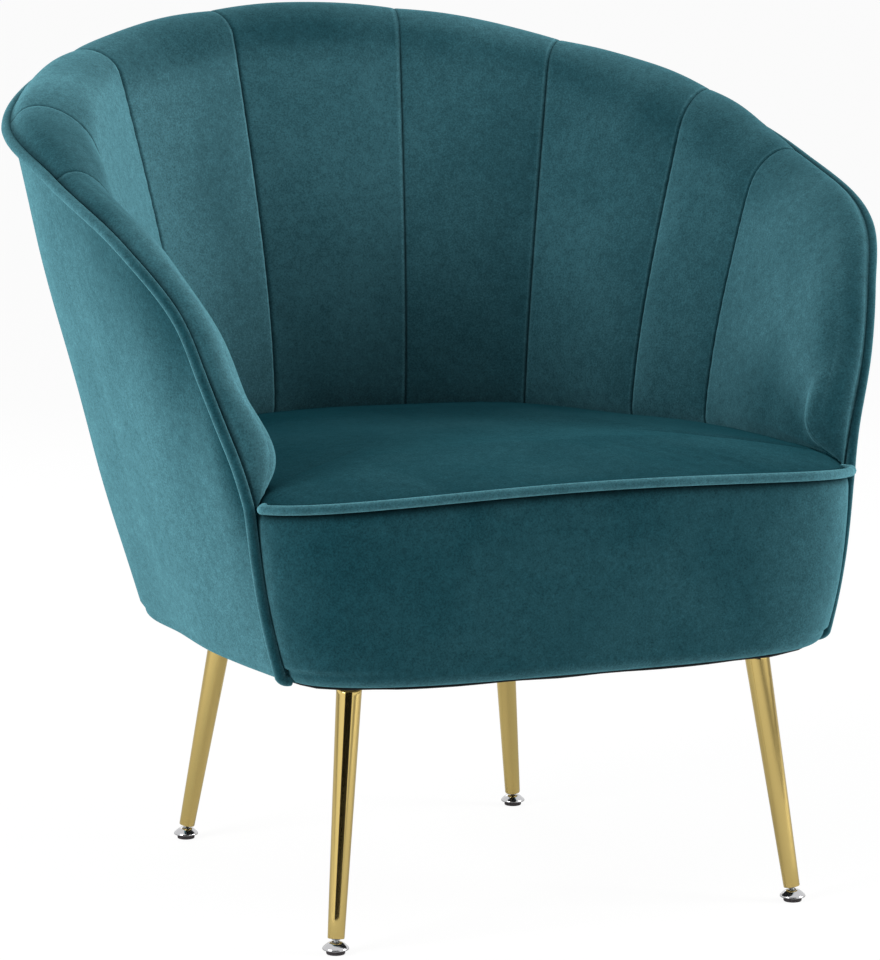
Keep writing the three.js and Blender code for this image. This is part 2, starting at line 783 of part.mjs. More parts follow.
function addTurned(name, pairs, sides, place, axis, material) {
  return addGeometry(name, turned(pairs, sides, place, axis), material);
}

// Everything along one leg's axis is placed from the centre of the glide's ball.
// The axis passes a place at the bottom of the covers and leans out to the foot.
function legAxis(side, end) {
  const drop = coverBottomHeight - ballHeight;
  return {
    ball: point(side * (end.x + end.leanX * drop), end.y - end.leanY * drop, ballHeight),
    axis: point(-side * end.leanX, end.leanY, 1).normalize(),
  };
}
const frontLegs = {
  x: baseHalfWidth - frontLegInsetX,
  y: frontLegInsetY - baseCornerReach,
  leanX: frontLeanXShare,
  leanY: frontLeanYShare,
};
const rearLegs = {
  x: baseHalfWidth - rearLegInsetX,
  y: baseBackReach - rearLegInsetY,
  leanX: rearLeanXShare,
  leanY: rearLeanYShare,
};
const blockHeight = (railTop - frameBottom) * blockHeightShare;

function addLeg(name, { ball, axis }) {
  const tip = (legTipHeight - ballHeight) / axis.z;
  const topCut = frameBottom - fitGap;
  const length = (topCut - legTipHeight) / axis.z + legTopDiameter;
  const topRadius = legTipDiameter / 2 + (legTopDiameter - legTipDiameter) / 2 * length / (length - legTopDiameter);
  const bore = studDiameter / 2 + boreGap;
  const boltStart = length - legTopDiameter - legBoltDepth;
  const pairs = [[0, studLength + boreGap], [bore, studLength + boreGap], [bore, 0],
    [legTipDiameter / 2 - legTipRound, 0], [legTipDiameter / 2, legTipRound],
    [topRadius, length], [bore, length], [bore, boltStart], [0, boltStart]];
  const leg = toSolid(turned(pairs, legSides, ball.clone().addScaledVector(axis, tip), axis));
  const slabWidth = 2 * (length * Math.hypot(axis.x, axis.y) + legTopDiameter);
  const slabHeight = legTopDiameter * 4;
  const slab = bare(new THREE.BoxGeometry(slabWidth, slabWidth, slabHeight));
  slab.translate(ball.x, ball.y, topCut + slabHeight / 2);
  addGeometry(name, fromSolid(leg.subtract(toSolid(slab))), gold);
}

function addLegBolt(word, { ball, axis }) {
  const start = (frameBottom - ballHeight) / axis.z - legBoltDepth + fitGap;
  const blockTop = (frameBottom + blockHeight - ballHeight) / axis.z;
  const end = blockTop + nutRise;
  const radius = studDiameter / 2;
  addTurned(`leg_bolt_${word}`, [[0, start], [radius, start], [radius, end], [0, end]], boltSides, ball, axis, steel);
  const tilt = nutFlangeDiameter / 2 * Math.hypot(axis.x, axis.y) / axis.z;
  const seat = blockTop + tilt + fitGap;
  const bore = radius + boreGap;
  const barrel = nutBarrelDiameter / 2;
  const flange = nutFlangeDiameter / 2;
  addTurned(`t_nut_${word}`, [[bore, seat - nutBarrelLength], [barrel, seat - nutBarrelLength], [barrel, seat],
    [flange, seat], [flange, seat + nutFlangeThickness], [bore, seat + nutFlangeThickness],
    [bore, seat - nutBarrelLength]], boltSides, ball, axis, steel);
}

// Room inside the rails, as two prisms: one by the shell's rails and one by the front rail.
function prism(outline) {
  const shape = new THREE.Shape(outline.map((p) => new THREE.Vector2(p.x, p.y)));
  return toSolid(bare(new THREE.ExtrudeGeometry(shape, { depth: rimHeight, bevelEnabled: false })));
}

function shellRoom() {
  const inset = coverThickness + railThickness + 3 * fitGap;
  const outline = [];
  for (let k = 0; k <= sheetSteps; k += 1) {
    const station = sideRailShare * (2 * k / sheetSteps - 1);
    outline.push(baseAt(station).addScaledVector(outwardAt(station), -inset));
  }
  const [first] = outline;
  const last = outline[outline.length - 1];
  return prism([point(first.x, -2 * frontReach, 0), ...outline, point(last.x, -2 * frontReach, 0)]);
}

function frontRoom() {
  const bottom = coverBottomHeight + apronHemRadius + fitGap;
  const inset = apronThickness + apronLean + frontRailThickness + 2 * fitGap;
  const outline = [];
  for (let k = frontRailEndSteps; k <= apronSteps - frontRailEndSteps; k += 1) {
    const across = apronEdgeShare * (2 * k / apronSteps - 1);
    outline.push(apronAt(across, bottom).addScaledVector(apronInwardAt(across, bottom), inset));
  }
  const [first] = outline;
  const last = outline[outline.length - 1];
  return prism([point(first.x, 2 * backReach, 0), ...outline, point(last.x, 2 * backReach, 0)]);
}
const railRoom = shellRoom().intersect(frontRoom());

// Block round the leg's bolt. Its outer corner is cut off and it ends at the rails.
function addCornerBlock(word, side, cut, { ball, axis }) {
  const reach = (frameBottom + blockHeight / 2 - ball.z) / axis.z;
  const x = side * (ball.x + axis.x * reach);
  const y = ball.y + axis.y * reach;
  const outer = cut.end;
  const corners = [[x - blockHalfWidth, y - outer * blockHalfDepth], [x - blockHalfWidth, y + outer * blockHalfDepth],
    [x + blockHalfWidth - cut.x, y + outer * blockHalfDepth],
    [x + blockHalfWidth, y + outer * (blockHalfDepth - cut.y)], [x + blockHalfWidth, y - outer * blockHalfDepth]];
  const shape = new THREE.Shape(corners.map(([along, across]) => new THREE.Vector2(side * along, across)));
  const geometry = bare(new THREE.ExtrudeGeometry(shape, { depth: blockHeight, bevelEnabled: false }));
  geometry.translate(0, 0, frameBottom);
  const length = blockHeight * 2 + frameBottom;
  const radius = nutBarrelDiameter / 2 + fitGap;
  const drill = turned([[0, 0], [radius, 0], [radius, length], [0, length]], boltSides, ball, axis);
  const block = toSolid(geometry).intersect(railRoom).subtract(toSolid(drill));
  addGeometry(`corner_block_${word}`, fromSolid(block), beech);
}

// Swivelling screw glide: rubber pad, metal bell and a stud with a ball end.
function addGlide(word, { ball, axis }) {
  const floor = point(ball.x, ball.y, 0);
  const pad = padDiameter / 2;
  addTurned(`glide_pad_${word}`, [[0, 0], [pad - padRound, 0], [pad, padRound], [pad, padHeight], [0, padHeight]],
    glideSides, floor, up, rubber);
  const low = padHeight + fitGap / 2;
  const rim = bellDiameter / 2;
  const socket = ballDiameter / 2 + boreGap;
  const mouth = neckDiameter / 2 + mouthGap;
  const floorLevel = ballHeight - ballDiameter / 2 - boreGap;
  addTurned(`glide_bell_${word}`, [[0, low], [rim - bellLip, low], [rim, low + bellLip],
    [rim * bellShoulderShare, low + (bellTop - low) * bellShoulderRiseShare],
    [rim * bellCrownShare, bellTop - bellLip / 2], [mouth + bellLip / 2, bellTop], [mouth, bellTop],
    [mouth, bellTop - bellLip], [socket, ballHeight + ballDiameter / 4],
    [socket, floorLevel], [0, floorLevel]], glideSides, floor, up, chrome);
  const ballRadius = ballDiameter / 2;
  const neck = neckDiameter / 2;
  const meet = Math.sqrt(ballRadius ** 2 - neck ** 2);
  const shank = studDiameter / 2;
  const pairs = [[0, -ballRadius]];
  for (let k = 1; k <= ballRings; k += 1) {
    const angle = -Math.PI / 2 + (Math.PI / 2 + Math.acos(neck / ballRadius)) * k / ballRings;
    pairs.push(k === ballRings ? [neck, meet] : [ballRadius * Math.cos(angle), ballRadius * Math.sin(angle)]);
  }
  const tip = (legTipHeight - ballHeight) / axis.z;
  pairs.push([neck, studShoulder], [shank, studShoulder], [shank, tip + studLength], [0, tip + studLength]);
  addTurned(`glide_stud_${word}`, pairs, boltSides, ball, axis, steel);
}

const frontCut = { end: -1, x: frontBlockChamferX, y: frontBlockChamferY };
const rearCut = { end: 1, x: rearBlockChamferX, y: rearBlockChamferY };

for (const [word, side] of [['left', -1], ['right', 1]]) {
  for (const [endWord, end, cut] of [['front', frontLegs, frontCut], ['rear', rearLegs, rearCut]]) {
    const line = legAxis(side, end);
    const label = `${endWord}_${word}`;
    addLeg(`leg_${label}`, line);
    addLegBolt(label, line);
    addCornerBlock(label, side, cut, line);
    addGlide(label, line);
  }
  addPost(`back_post_${word}`, side * backPostShare, backPostWidthShare);
  addFrontPost(`front_post_${word}`, side);
}

// Distance that a spring reaches back at a distance to the side: it ends on the rear rail.
function springReach(x) {
  const placeAt = (station) => baseAt(station).addScaledVector(outwardAt(station), -springEndInset);
  let low = 0;
  let high = rearRailShare;
  for (let k = 0; k < halvingSteps; k += 1) {
    const middle = (low + high) / 2;
    if (placeAt(middle).x < x) {
      low = middle;
    } else {
      high = middle;
    }
  }
  return placeAt(low).y;
}

// Zigzag wire springs across the seat frame, from the front rail to the rear rail.
function addSpring(name, x) {
  const front = -frontReach + apronThickness + apronLean + fitGap + frontRailThickness * springFrontShare;
  const rear = springReach(Math.abs(x));
  const end = railTop + fitGap + springWire / 2;
  const points = [];
  const count = springWaves * springPointsPerWave;
  for (let k = 0; k <= count; k += 1) {
    const share = k / count;
    const fade = Math.min(1, Math.sin(Math.PI * share) * springPointsPerWave);
    points.push(point(x + springWidth / 2 * fade * Math.sin(2 * Math.PI * springWaves * share),
      front + (rear - front) * share, end + springArch * Math.sin(Math.PI * share)));
  }
  addSweep(name, points, roundShape(springWire, springSides), count + springWaves * 2, springSteel);
}
[-3 / 2, -1 / 2, 1 / 2, 3 / 2].forEach((step, k) => addSpring(`seat_spring_${k + 1}`, step * springSpacing));

// Flat sheets whose outline follows the seat or the bottom edge of the covers.
function flatOutline(inset, useBase) {
  const outline = [];
  for (let k = 0; k <= sheetSteps; k += 1) {
    const station = -1 + 2 * k / sheetSteps;
    const edge = useBase ? baseAt(station) : seatAt(station);
    outline.push(edge.addScaledVector(outwardAt(station), -inset));
  }
  for (let k = sheetFrontSteps - 1; k > 0; k -= 1) {
    const across = -1 + 2 * k / sheetFrontSteps;
    outline.push(apronAt(across, coverBottomHeight).addScaledVector(apronInwardAt(across, coverBottomHeight), inset));
  }
  return outline;
}

function addFlat(name, outline, bottom, thickness, material, holes = []) {
  const shape = new THREE.Shape(outline.map((p) => new THREE.Vector2(p.x, p.y)));
  holes.forEach((hole) => shape.holes.push(hole));
  const geometry = new THREE.ExtrudeGeometry(shape, { depth: thickness, bevelEnabled: false, curveSegments: holeSides });
  geometry.translate(0, 0, bottom);
  addGeometry(name, geometry, material);
}
addFlat('spring_felt', flatOutline(feltInset, false), springTop + fitGap, feltThickness, felt);

function legHoles() {
  const holes = [];
  for (const side of [-1, 1]) {
    for (const end of [frontLegs, rearLegs]) {
      const { ball, axis } = legAxis(side, end);
      const reach = (coverBottomHeight - dustThickness - ball.z) / axis.z;
      const hole = new THREE.Path();
      hole.absarc(ball.x + axis.x * reach, ball.y + axis.y * reach, legTopDiameter / 2 + dustHoleGap, 0, 2 * Math.PI);
      holes.push(hole);
    }
  }
  return holes;
}
addFlat('dust_cover', flatOutline(dustInset, true), coverBottomHeight - dustThickness - fitGap, dustThickness,
  dustCloth, legHoles());

// The chair stands over the origin: the middle of its outline in plan is x = 0, y = 0.
const middle = new THREE.Box3().setFromObject(group).getCenter(new THREE.Vector3());
group.children.forEach((mesh) => mesh.geometry.translate(-middle.x, -middle.y, 0));

export default group;
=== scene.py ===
# Looks of the scallop back chair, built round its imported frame.
import math

import bmesh
import bpy
import numpy as np
from mathutils import Matrix, Vector


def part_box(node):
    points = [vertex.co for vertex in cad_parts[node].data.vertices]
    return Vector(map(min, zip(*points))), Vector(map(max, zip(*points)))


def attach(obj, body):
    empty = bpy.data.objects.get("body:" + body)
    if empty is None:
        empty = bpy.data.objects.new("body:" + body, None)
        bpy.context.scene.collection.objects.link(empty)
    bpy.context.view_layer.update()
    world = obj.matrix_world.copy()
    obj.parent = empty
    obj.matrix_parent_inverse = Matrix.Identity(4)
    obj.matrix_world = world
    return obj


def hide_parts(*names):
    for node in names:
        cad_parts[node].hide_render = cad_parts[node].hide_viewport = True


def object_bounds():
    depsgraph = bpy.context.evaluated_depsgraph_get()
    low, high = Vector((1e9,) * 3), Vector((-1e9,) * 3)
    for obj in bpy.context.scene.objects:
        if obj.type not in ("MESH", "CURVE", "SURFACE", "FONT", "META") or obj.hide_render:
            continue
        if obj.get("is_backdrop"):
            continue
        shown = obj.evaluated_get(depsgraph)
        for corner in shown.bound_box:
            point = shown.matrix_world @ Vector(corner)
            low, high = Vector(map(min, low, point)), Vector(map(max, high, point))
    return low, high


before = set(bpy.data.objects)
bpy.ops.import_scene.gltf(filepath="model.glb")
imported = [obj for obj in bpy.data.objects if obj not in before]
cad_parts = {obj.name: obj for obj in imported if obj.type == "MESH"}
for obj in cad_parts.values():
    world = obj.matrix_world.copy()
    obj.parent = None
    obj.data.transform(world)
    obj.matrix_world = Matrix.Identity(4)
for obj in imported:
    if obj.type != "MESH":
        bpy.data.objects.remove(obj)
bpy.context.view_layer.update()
MM = 0.001
LEG_WORDS = ("front_left", "front_right", "rear_left", "rear_right")

# The named sizes of the chair in millimetres, as in the part's source where no comment says otherwise.
cover_bottom_height = 247
seat_welt_end_height = 408
seat_edge_height = 427
rim_height = 816
seat_half_width = 300
rim_overhang = 95
base_half_width = 286
seat_back_reach = 241
side_front_reach = 258
back_reach = 352
front_reach = 338
base_back_reach = 268
base_corner_reach = 263
seat_crown = 11
seat_welt_rise = 12
seat_depth_thickness = 58
seat_draw_in = 16
seat_foot_inset = 30
seat_tuck = 3
seat_gap = 1
channel_thickness = 21
channel_crown = 6
roll_height_share = 0.34
roll_padding_share = 0.3
roll_handle_share = 1.38
# The part's source has 150 here, on a straight rise. Here the roll stays full for longer.
roll_fade_length = 85
face_top_share = 0.97
lumbar_bulge = 13
lumbar_power = 0.7
cover_thickness = 4
cover_bulge = 6
hem_radius = 10
hem_turn = 22
apron_thickness = 10
apron_lean = 4
apron_hem_radius = 14
apron_hem_turn = 11
apron_edge_share = 0.992
welt_diameter = 9
welt_gap = 0.6
fit_gap = 0.4
# Where the drawing has the front glides, which ties the drawing to the frame.
front_foot_y = -283.93
rim_rise = rim_height - seat_welt_end_height

# Stations run from 0 at the middle of the back to 1 at the seat's right front corner.
station_shares = [0, 0.1, 0.265, 0.435, 0.597, 0.746, 0.828, 0.889, 0.952, 1]
seam_shares = station_shares[1:5]
rim_x = [0, 0.267, 0.7176, 1.0205, 1.0821, 1.0829, 1.0386, 1.0295, 1.01, 1.0033]
rim_y = [1, 0.997, 0.894, 0.663, 0.41, 0.171, 0.077, 0.04, 0.016, 0]
rim_z = [1, 0.985, 0.898, 0.782, 0.677, 0.551, 0.409, 0.267, 0.115, 0]
inner_x = [0, 0.2351, 0.6122, 0.8491, 0.9351, 0.9479, 0.9291, 0.9194, 0.882, 0.9813]
inner_y = [0.904, 0.897, 0.81, 0.584, 0.408, 0.203, 0.106, 0.066, 0.042, 0.001]
inner_z = [0.975, 0.962, 0.883, 0.735, 0.604, 0.483, 0.355, 0.225, 0.095, 0.02]
# The cover pulls the seat's front corners a little fuller than the part's pad.
seat_x = [0, 0.243, 0.623, 0.82, 0.94, 0.965, 0.957, 0.954, 0.957, 0.993]
seat_y = [1, 0.99, 0.899, 0.651, 0.475, 0.25, 0.165, 0.085, 0.022, 0.001]
seat_drop = [0, 0, 0, 0, 0, 0, 0, 0, 0.15, 0.6]
base_x = [0, 0.262, 0.647, 0.902, 0.951, 0.985, 0.987, 0.98, 0.972, 0.958]
base_y = [1, 0.989, 0.902, 0.735, 0.512, 0.336, 0.206, 0.113, 0.048, 0]

pad_low, pad_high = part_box("glide_pad_front_left")
plan_shift = (pad_low[1] + pad_high[1]) / 2 - front_foot_y * MM


def to_frame(places):
    """Millimetres of the part's drawing, as metres in the frame."""
    return np.asarray(places, float) * MM + np.array([0, plan_shift, 0])


# Curves and surfaces of the shell.

STEP = 0.01
TABLE = np.linspace(-1, 1, 4001)


def smooth_curve(points, keys, station):
    """Centripetal curve through the points, read at one station."""
    k = int(np.clip(np.searchsorted(keys, station) - 1, 0, len(points) - 2))
    t = (station - keys[k]) / (keys[k + 1] - keys[k])
    p1, p2 = points[k], points[k + 1]
    p0 = points[k - 1] if k > 0 else 2 * points[0] - points[1]
    p3 = points[k + 2] if k + 2 < len(points) else 2 * points[-1] - points[-2]
    d0, d1, d2 = (((b - a) @ (b - a)) ** 0.25 for a, b in ((p0, p1), (p1, p2), (p2, p3)))
    t1 = ((p1 - p0) / d0 - (p2 - p0) / (d0 + d1) + (p2 - p1) / d1) * d1
    t2 = ((p2 - p1) / d1 - (p3 - p1) / (d1 + d2) + (p3 - p2) / d2) * d1
    return p1 + t1 * t + (3 * (p2 - p1) - 2 * t1 - t2) * t ** 2 + (2 * (p1 - p2) + t1 + t2) * t ** 3


def station_curve(x, y, z):
    """Dense table of a curve that mirrors from the right half of the chair to the left."""
    right = np.column_stack([x, y, z]).astype(float)
    points = np.vstack([right[:0:-1] * [-1, 1, 1], right])
    keys = np.array([-s for s in station_shares[:0:-1]] + station_shares)
    table = np.array([smooth_curve(points, keys, s) for s in TABLE])

    def read(station):
        s = np.clip(station, -1, 1)
        return np.stack([np.interp(s, TABLE, table[:, k]) for k in range(3)], -1)
    return read


def along_plan(shares, front, back):
    return [share * (back + front) - front for share in shares]


rim_at = station_curve(
    [x * (seat_half_width + rim_overhang * z) for x, z in zip(rim_x, rim_z)],
    along_plan(rim_y, side_front_reach, back_reach), [seat_welt_end_height + rim_rise * z for z in rim_z])
inner_at = station_curve(
    [x * (seat_half_width + rim_overhang * z) for x, z in zip(inner_x, inner_z)],
    along_plan(inner_y, side_front_reach, back_reach), [seat_welt_end_height + rim_rise * z for z in inner_z])
seat_at = station_curve(
    [x * seat_half_width for x in seat_x], along_plan(seat_y, side_front_reach, seat_back_reach),
    [seat_edge_height - (seat_edge_height - seat_welt_end_height) * drop for drop in seat_drop])
base_at = station_curve(
    [x * base_half_width for x in base_x], along_plan(base_y, base_corner_reach, base_back_reach),
    [cover_bottom_height] * len(base_x))


def unit(v):
    return v / np.linalg.norm(v, axis=-1, keepdims=True)


def column(values):
    return np.asarray(values, float)[..., None]


def lerp(a, b, share):
    return a + (b - a) * share


def ease(value, low, high):
    """0 below low, 1 above high and a smooth rise between."""
    t = np.clip((value - low) / (high - low), 0, 1)
    return t * t * (3 - 2 * t)


def outward_at(station):
    s = np.clip(station, -1, 1)
    along = base_at(s + STEP) - base_at(s - STEP)
    return unit(np.cross([0, 0, 1], along))


def roll_at(station):
    """Chord of the rolled top from the rim to the inner edge, its rise and its middle."""
    rim, inner = rim_at(station), inner_at(station)
    along = unit(rim_at(station + STEP) - rim_at(station - STEP))
    chord = inner - rim
    length = np.linalg.norm(chord, axis=-1)
    return (inner + rim) / 2, chord, unit(np.cross(chord, along)), length * roll_height_share, length


def flat_face_at(station, along):
    """Face of the shell from the seat up to where its top starts to roll."""
    inner, seat = inner_at(station), seat_at(station)
    rise = np.linalg.norm(inner - seat, axis=-1) / rim_rise
    bulge = lumbar_bulge * rise * np.sin(np.pi * along ** lumbar_power)
    return lerp(seat, inner, column(along)) - outward_at(station) * column(bulge)


def rolled_face_at(station, share):
    """The rolled top leaves the face without a crease and comes down to the rim square to its chord."""
    _, _, lift, height, _ = roll_at(station)
    inner, rim = inner_at(station), rim_at(station)
    fade = ease(np.linalg.norm(inner - seat_at(station), axis=-1), 0, roll_fade_length)
    climb = unit(inner - flat_face_at(station, np.full_like(station, face_top_share)))
    handle = column(height * roll_handle_share)
    start, end = inner + unit(lerp(lift, climb, column(fade))) * handle, rim + lift * handle
    t = column(share)
    return ((1 - t) ** 3 * inner + 3 * t * (1 - t) ** 2 * start + 3 * t ** 2 * (1 - t) * end + t ** 3 * rim)


def face_at(station, along, shrink=1):
    """Padded face of the shell: along is 0 at the seat, 1 where the roll starts and 2 at the rim."""
    station = np.clip(station, -1, 1)
    middle = roll_at(station)[0]
    rolled = middle + (rolled_face_at(station, np.clip(along, 1, 2) - 1) - middle) * column(shrink)
    return np.where(column(along) <= 1, flat_face_at(station, np.clip(along, 0, 1)), rolled)


SOFT_TAPS = np.linspace(-1, 1, 9)


def soft_face_at(station, along):
    """The face with its turn into the roll eased, as foam turns, and more so at the arms."""
    widest = lerp(0.12, 0.6, ease(np.abs(station), 0.5, 0.8))
    reach = np.minimum(widest, np.minimum(along, 2 - along))
    weights = (1 - SOFT_TAPS ** 2) + 0.05
    total = sum(w * face_at(station, along + reach * t) for w, t in zip(weights, SOFT_TAPS))
    return total / weights.sum()


def face_normal_at(station, along):
    """Direction out of the padded face, towards the sitter and over the roll."""
    across = soft_face_at(station + 0.004, along) - soft_face_at(station - 0.004, along)
    upward = (soft_face_at(station, np.clip(along + 0.01, 0, 2))
              - soft_face_at(station, np.clip(along - 0.01, 0, 2)))
    return unit(np.cross(across, upward))


def channel_depth_at(station):
    return np.minimum(channel_thickness, roll_at(station)[4] * roll_padding_share)


def channel_back_at(station, along):
    depth = channel_depth_at(station)
    shrink = np.where(along <= 1, 1, 1 - 2 * depth / roll_at(station)[4])
    return face_at(station, along, shrink) + outward_at(station) * column(np.where(along <= 1, depth, 0))


def cover_at(station, rise):
    place = lerp(base_at(station), rim_at(station), column(rise))
    return place + outward_at(station) * column(cover_bulge * 4 * rise * (1 - rise))


def apron_at(across, height):
    rise = (height - cover_bottom_height) / (seat_welt_end_height - cover_bottom_height)
    corner = cover_at(np.ones_like(across), rise)
    share = np.sin(across * np.pi / 2)
    bow = front_reach + apron_lean * (1 - rise) + corner[..., 1]
    return np.stack([corner[..., 0] * share, corner[..., 1] - bow * (1 - share ** 4) ** 0.55,
                     height + 0 * across], -1)


def apron_inward_at(across, height):
    along = apron_at(np.minimum(across + 0.02, 1), height) - apron_at(np.maximum(across - 0.02, -1), height)
    return unit(np.cross([0, 0, 1], along))


def seat_welt_at(across):
    share = np.sin(across * np.pi / 2)
    return apron_at(across, seat_welt_end_height + seat_welt_rise * (1 - share ** 2))


def ripple(places, length, seed):
    """Slow, even unevenness of stuffing, from -1 to 1, over about one length in millimetres."""
    turns = np.random.RandomState(seed)
    total = 0
    for _ in range(6):
        way = unit(turns.normal(size=3)) * 2 * np.pi / (length * turns.uniform(0.7, 1.6))
        total = total + np.sin(places @ way + turns.uniform(0, 6.28))
    return total / 3


# Making meshes.

def finish_piece(name, mesh, material, body, nodes=()):
    """A finished piece rides on its body and stands for its nodes."""
    piece = bpy.data.objects.new(name, mesh)
    bpy.context.scene.collection.objects.link(piece)
    mesh.materials.append(material)
    mesh.shade_smooth()
    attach(piece, body)
    if nodes:
        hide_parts(*nodes)
    return piece


def mesh_from(bm, name):
    bmesh.ops.recalc_face_normals(bm, faces=bm.faces)
    mesh = bpy.data.meshes.new(name)
    bm.to_mesh(mesh)
    bm.free()
    return mesh


def paint(mesh, name, values):
    """Stores one number for each vertex, for the velvet's material to read."""
    mesh.attributes.new(name, "FLOAT", "POINT").data.foreach_set("value", np.asarray(values, np.float32))


def quilted(name, across, along, layer, material, nodes, painted_crease_shade=None, nap_and_painted_light=None):
    """A closed padded sheet: a grid and its pushed-out copy, laid on a front and a back surface."""
    bm = bmesh.new()
    bmesh.ops.create_grid(bm, x_segments=across, y_segments=along, size=0.5)
    bmesh.ops.translate(bm, verts=bm.verts, vec=(0.5, 0.5, 0))
    pushed = bmesh.ops.extrude_face_region(bm, geom=bm.faces[:])["geom"]
    bmesh.ops.translate(bm, verts=[v for v in pushed if isinstance(v, bmesh.types.BMVert)], vec=(0, 0, 1))
    mesh = mesh_from(bm, name)
    flat = np.empty(len(mesh.vertices) * 3)
    mesh.vertices.foreach_get("co", flat)
    u, v, w = flat.reshape(-1, 3).T
    mesh.vertices.foreach_set("co", to_frame(layer(u, v, w)).ravel())
    if painted_crease_shade:
        paint(mesh, "painted_crease_shade", np.clip(painted_crease_shade(u, v), 0, 1))
    if nap_and_painted_light:
        paint(mesh, "nap_and_painted_light", nap_and_painted_light(u, v))
    outwards(mesh)
    piece = finish_piece(name, mesh, material, "chair", nodes)
    return piece


def outwards(mesh):
    bm = bmesh.new()
    bm.from_mesh(mesh)
    bmesh.ops.recalc_face_normals(bm, faces=bm.faces)
    bm.to_mesh(mesh)
    bm.free()


def swept(name, points, diameter, material, nodes, nap_and_painted_light, sides=20):
    """A round cord along a path, as a curve with a bevel made into a mesh."""
    curve = bpy.data.curves.new(name, "CURVE")
    curve.dimensions = "3D"
    curve.bevel_depth = diameter / 2 * MM
    curve.bevel_resolution = (sides - 4) // 4
    curve.use_fill_caps = True
    line = curve.splines.new("POLY")
    places = to_frame(points)
    line.points.add(len(places) - 1)
    line.points.foreach_set("co", np.column_stack([places, np.ones(len(places))]).ravel())
    helper = bpy.data.objects.new(name + "_path", curve)
    mesh = bpy.data.meshes.new_from_object(helper)
    bpy.data.objects.remove(helper)
    bpy.data.curves.remove(curve)
    mesh.name = name
    paint(mesh, "nap_and_painted_light", np.full(len(mesh.vertices), nap_and_painted_light))
    return finish_piece(name, mesh, material, "chair", nodes)


def turned(name, profile, place, axis, material, body, nodes, sides=64):
    """A piece turned on a lathe: pairs of radius and height spun round an axis through a place."""
    bm = bmesh.new()
    verts = [bm.verts.new((r * MM, 0, z * MM)) for r, z in profile]
    edges = [bm.edges.new(pair) for pair in zip(verts, verts[1:])]
    bmesh.ops.spin(bm, geom=verts + edges, cent=(0, 0, 0), axis=(0, 0, 1), angle=2 * math.pi,
                   steps=sides, use_merge=True, use_duplicate=False)
    bmesh.ops.remove_doubles(bm, verts=bm.verts, dist=0.02 * MM)
    matrix = Matrix.Translation(place) @ Vector((0, 0, 1)).rotation_difference(axis).to_matrix().to_4x4()
    bmesh.ops.transform(bm, matrix=matrix, verts=bm.verts)
    mesh = mesh_from(bm, name)
    piece = finish_piece(name, mesh, material, body, nodes)
    mesh.set_sharp_from_angle(angle=math.radians(40))
    return piece


# Materials.

def linear(hex_colour):
    """sRGB hex to a linear colour."""
    parts = [int(hex_colour[k:k + 2], 16) / 255 for k in (1, 3, 5)]
    return tuple(c / 12.92 if c <= 0.04045 else ((c + 0.055) / 1.055) ** 2.4 for c in parts) + (1,)


def add(tree, kind, inputs=None, **settings):
    """Adds one node with its settings, and gives its sockets values or links."""
    node = tree.nodes.new(kind)
    for key, value in settings.items():
        setattr(node, key, value)
    for key, value in (inputs or {}).items():
        if isinstance(value, bpy.types.NodeSocket):
            tree.links.new(value, node.inputs[key])
        else:
            node.inputs[key].default_value = value
    return node


def new_material(name, **shader):
    """A material with one Principled shader, its values set on the shader's own sockets."""
    material = bpy.data.materials.new(name)
    material.use_nodes = True
    tree = material.node_tree
    principled = tree.nodes["Principled BSDF"]
    for key, value in shader.items():
        principled.inputs[key.replace("_", " ")].default_value = value
    place = add(tree, "ShaderNodeTexCoord").outputs["Object"]
    return material, tree, principled, place


def per_mm(size):
    """Scale of a pattern whose spots are this many millimetres apart, for coordinates in metres."""
    return 1 / (size * MM)


def mix_colour(tree, share, first, second, blend="MIX"):
    node = add(tree, "ShaderNodeMix", data_type="RGBA", blend_type=blend)
    for key, value in ((0, share), (6, first), (7, second)):
        if isinstance(value, bpy.types.NodeSocket):
            tree.links.new(value, node.inputs[key])
        else:
            node.inputs[key].default_value = value
    return node.outputs[2]


def spread(tree, value, low, high, to_low=0.0, to_high=1.0):
    return add(tree, "ShaderNodeMapRange", {"Value": value, "From Min": low, "From Max": high,
                                            "To Min": to_low, "To Max": to_high}).outputs["Result"]


